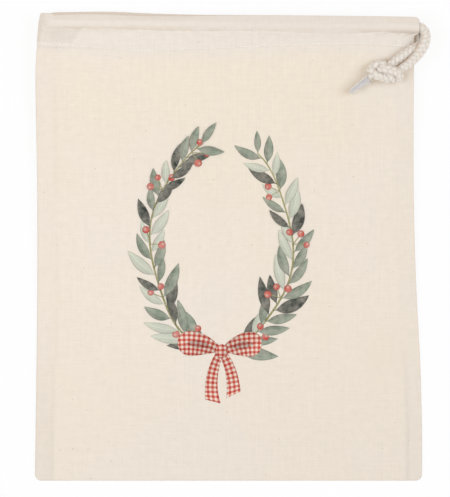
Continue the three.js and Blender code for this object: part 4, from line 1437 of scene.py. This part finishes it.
def stitch_row(name, facing):
    """A lockstitch row: each stitch a short round of thread whose ends dip into the cloth."""
    rng = np.random.default_rng(61 + facing)
    share = np.linspace(-1, 1, STITCH_RINGS)
    radius = STITCH_RADIUS * np.sqrt(1 - (share * 0.985) ** 6)[:, None]
    ids = numbered(STITCH_RINGS, STITCH_SIDES)
    faces = quads(ids, closed=True).tolist() + [ids[0, ::-1].tolist(), ids[-1].tolist()]
    stitches = []
    for middle in np.arange(*STITCH_ROW, STITCH_PITCH):
        x = middle + share * STITCH_LENGTH / 2
        y = stitch_y(x, facing) + rng.normal(0, THREAD_STRAY)
        z = surface_z(x, y, facing) + facing * (HALF + THREAD_RISE - THREAD_DIP * share**4)
        line = np.stack([x, y, np.maximum(z, STITCH_RADIUS)], axis=1)
        side, up = tube_frames(line, (0, 0, 1))
        thread = circles(line[:, None], side[:, None], up[:, None], STITCH_SIDES, radius)
        stitches.append((thread.reshape(-1, 3), faces))
    return mesh_object(name, *merged(stitches), THREAD_MATERIAL)


make_camera()
make_world()
make_lamps()
make_floor()

CORD_MATERIAL = cotton_cord()
CALICO_MATERIAL = calico()
THREAD_MATERIAL = sewing_thread()
SLEEVE_MATERIAL = clear_sleeve()

KNOT = knot_base()
front_line, front_turn = strand_into_knot(1, FRONT_STRAND, KNOT_TURNS[0], FRONT_FULLNESS)
back_line, back_turn = strand_into_knot(-1, BACK_STRAND, KNOT_TURNS[1], BACK_FULLNESS)
front_strand = cord_object("front_strand_cord", [front_line])
back_strand = cord_object("back_strand_cord", [back_line])
casing_cord = cord_object("casing_braid", [braided_tube(held_line(), HELD_SIDES, ACROSS_CORD)])
knot_tubes = [front_turn, back_turn]
for number, turn in enumerate(KNOT_TURNS[2:]):
    line = curve_through(KNOT + turn, FINE_STEP)
    ends = (KNOT_END, KNOT_END)
    knot_tubes.append(braided_tube(line, FINE_SIDES, ACROSS_CORD, ends=ends, seed=7.0 * number))
knot = cord_object("knot_cord", [*knot_tubes, tail(UPPER_SLEEVE), tail(LOWER_SLEEVE)])
upper_sleeve = sleeve_object("upper_sleeve", UPPER_SLEEVE, 51)
lower_sleeve = sleeve_object("lower_sleeve", LOWER_SLEEVE, 52)

front_cloth = cloth_object("front_cloth", 1)
back_cloth = cloth_object("back_cloth", -1)
front_stitches = stitch_row("front_stitches", 1)
back_stitches = stitch_row("back_stitches", -1)
inks = Inks()
draw_wreath(inks)
draw_bow(inks)
printed_wreath = inks.make("printed_wreath", "leaf", leaf_ink())
printed_bow = inks.make("printed_bow", "bow", checked_ink())
left_seam = seam_object("left_seam_allowance", -1)
right_seam = seam_object("right_seam_allowance", 1)

held_pieces = [knot, upper_sleeve, lower_sleeve]
for strand, facing, offsets, pieces in (
    (front_strand, 1, FRONT_STRAND, held_pieces), (back_strand, -1, BACK_STRAND, [])
):
    route = curve_through(exit_of(facing) + offsets, ROUTE_STEP)
    length = float(arc_length(route)[-1])

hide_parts("front_strand")
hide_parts("back_strand")
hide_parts("casing_cord")
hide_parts("knot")
for piece in (front_strand, back_strand, casing_cord, knot):
    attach(piece, "drawcord")

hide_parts("front_panel", "front_casing")
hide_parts("back_panel", "back_casing")
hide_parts("left_side_seam")
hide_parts("right_side_seam")
for piece in (front_cloth, back_cloth, left_seam, right_seam):
    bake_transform(piece)
for piece in (printed_wreath, printed_bow, front_stitches, back_stitches):
    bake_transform(piece)

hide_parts("upper_aglet")
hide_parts("lower_aglet")
for piece in (upper_sleeve, lower_sleeve):
    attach(piece, "drawcord")

bpy.context.scene.view_settings.view_transform = "Standard"
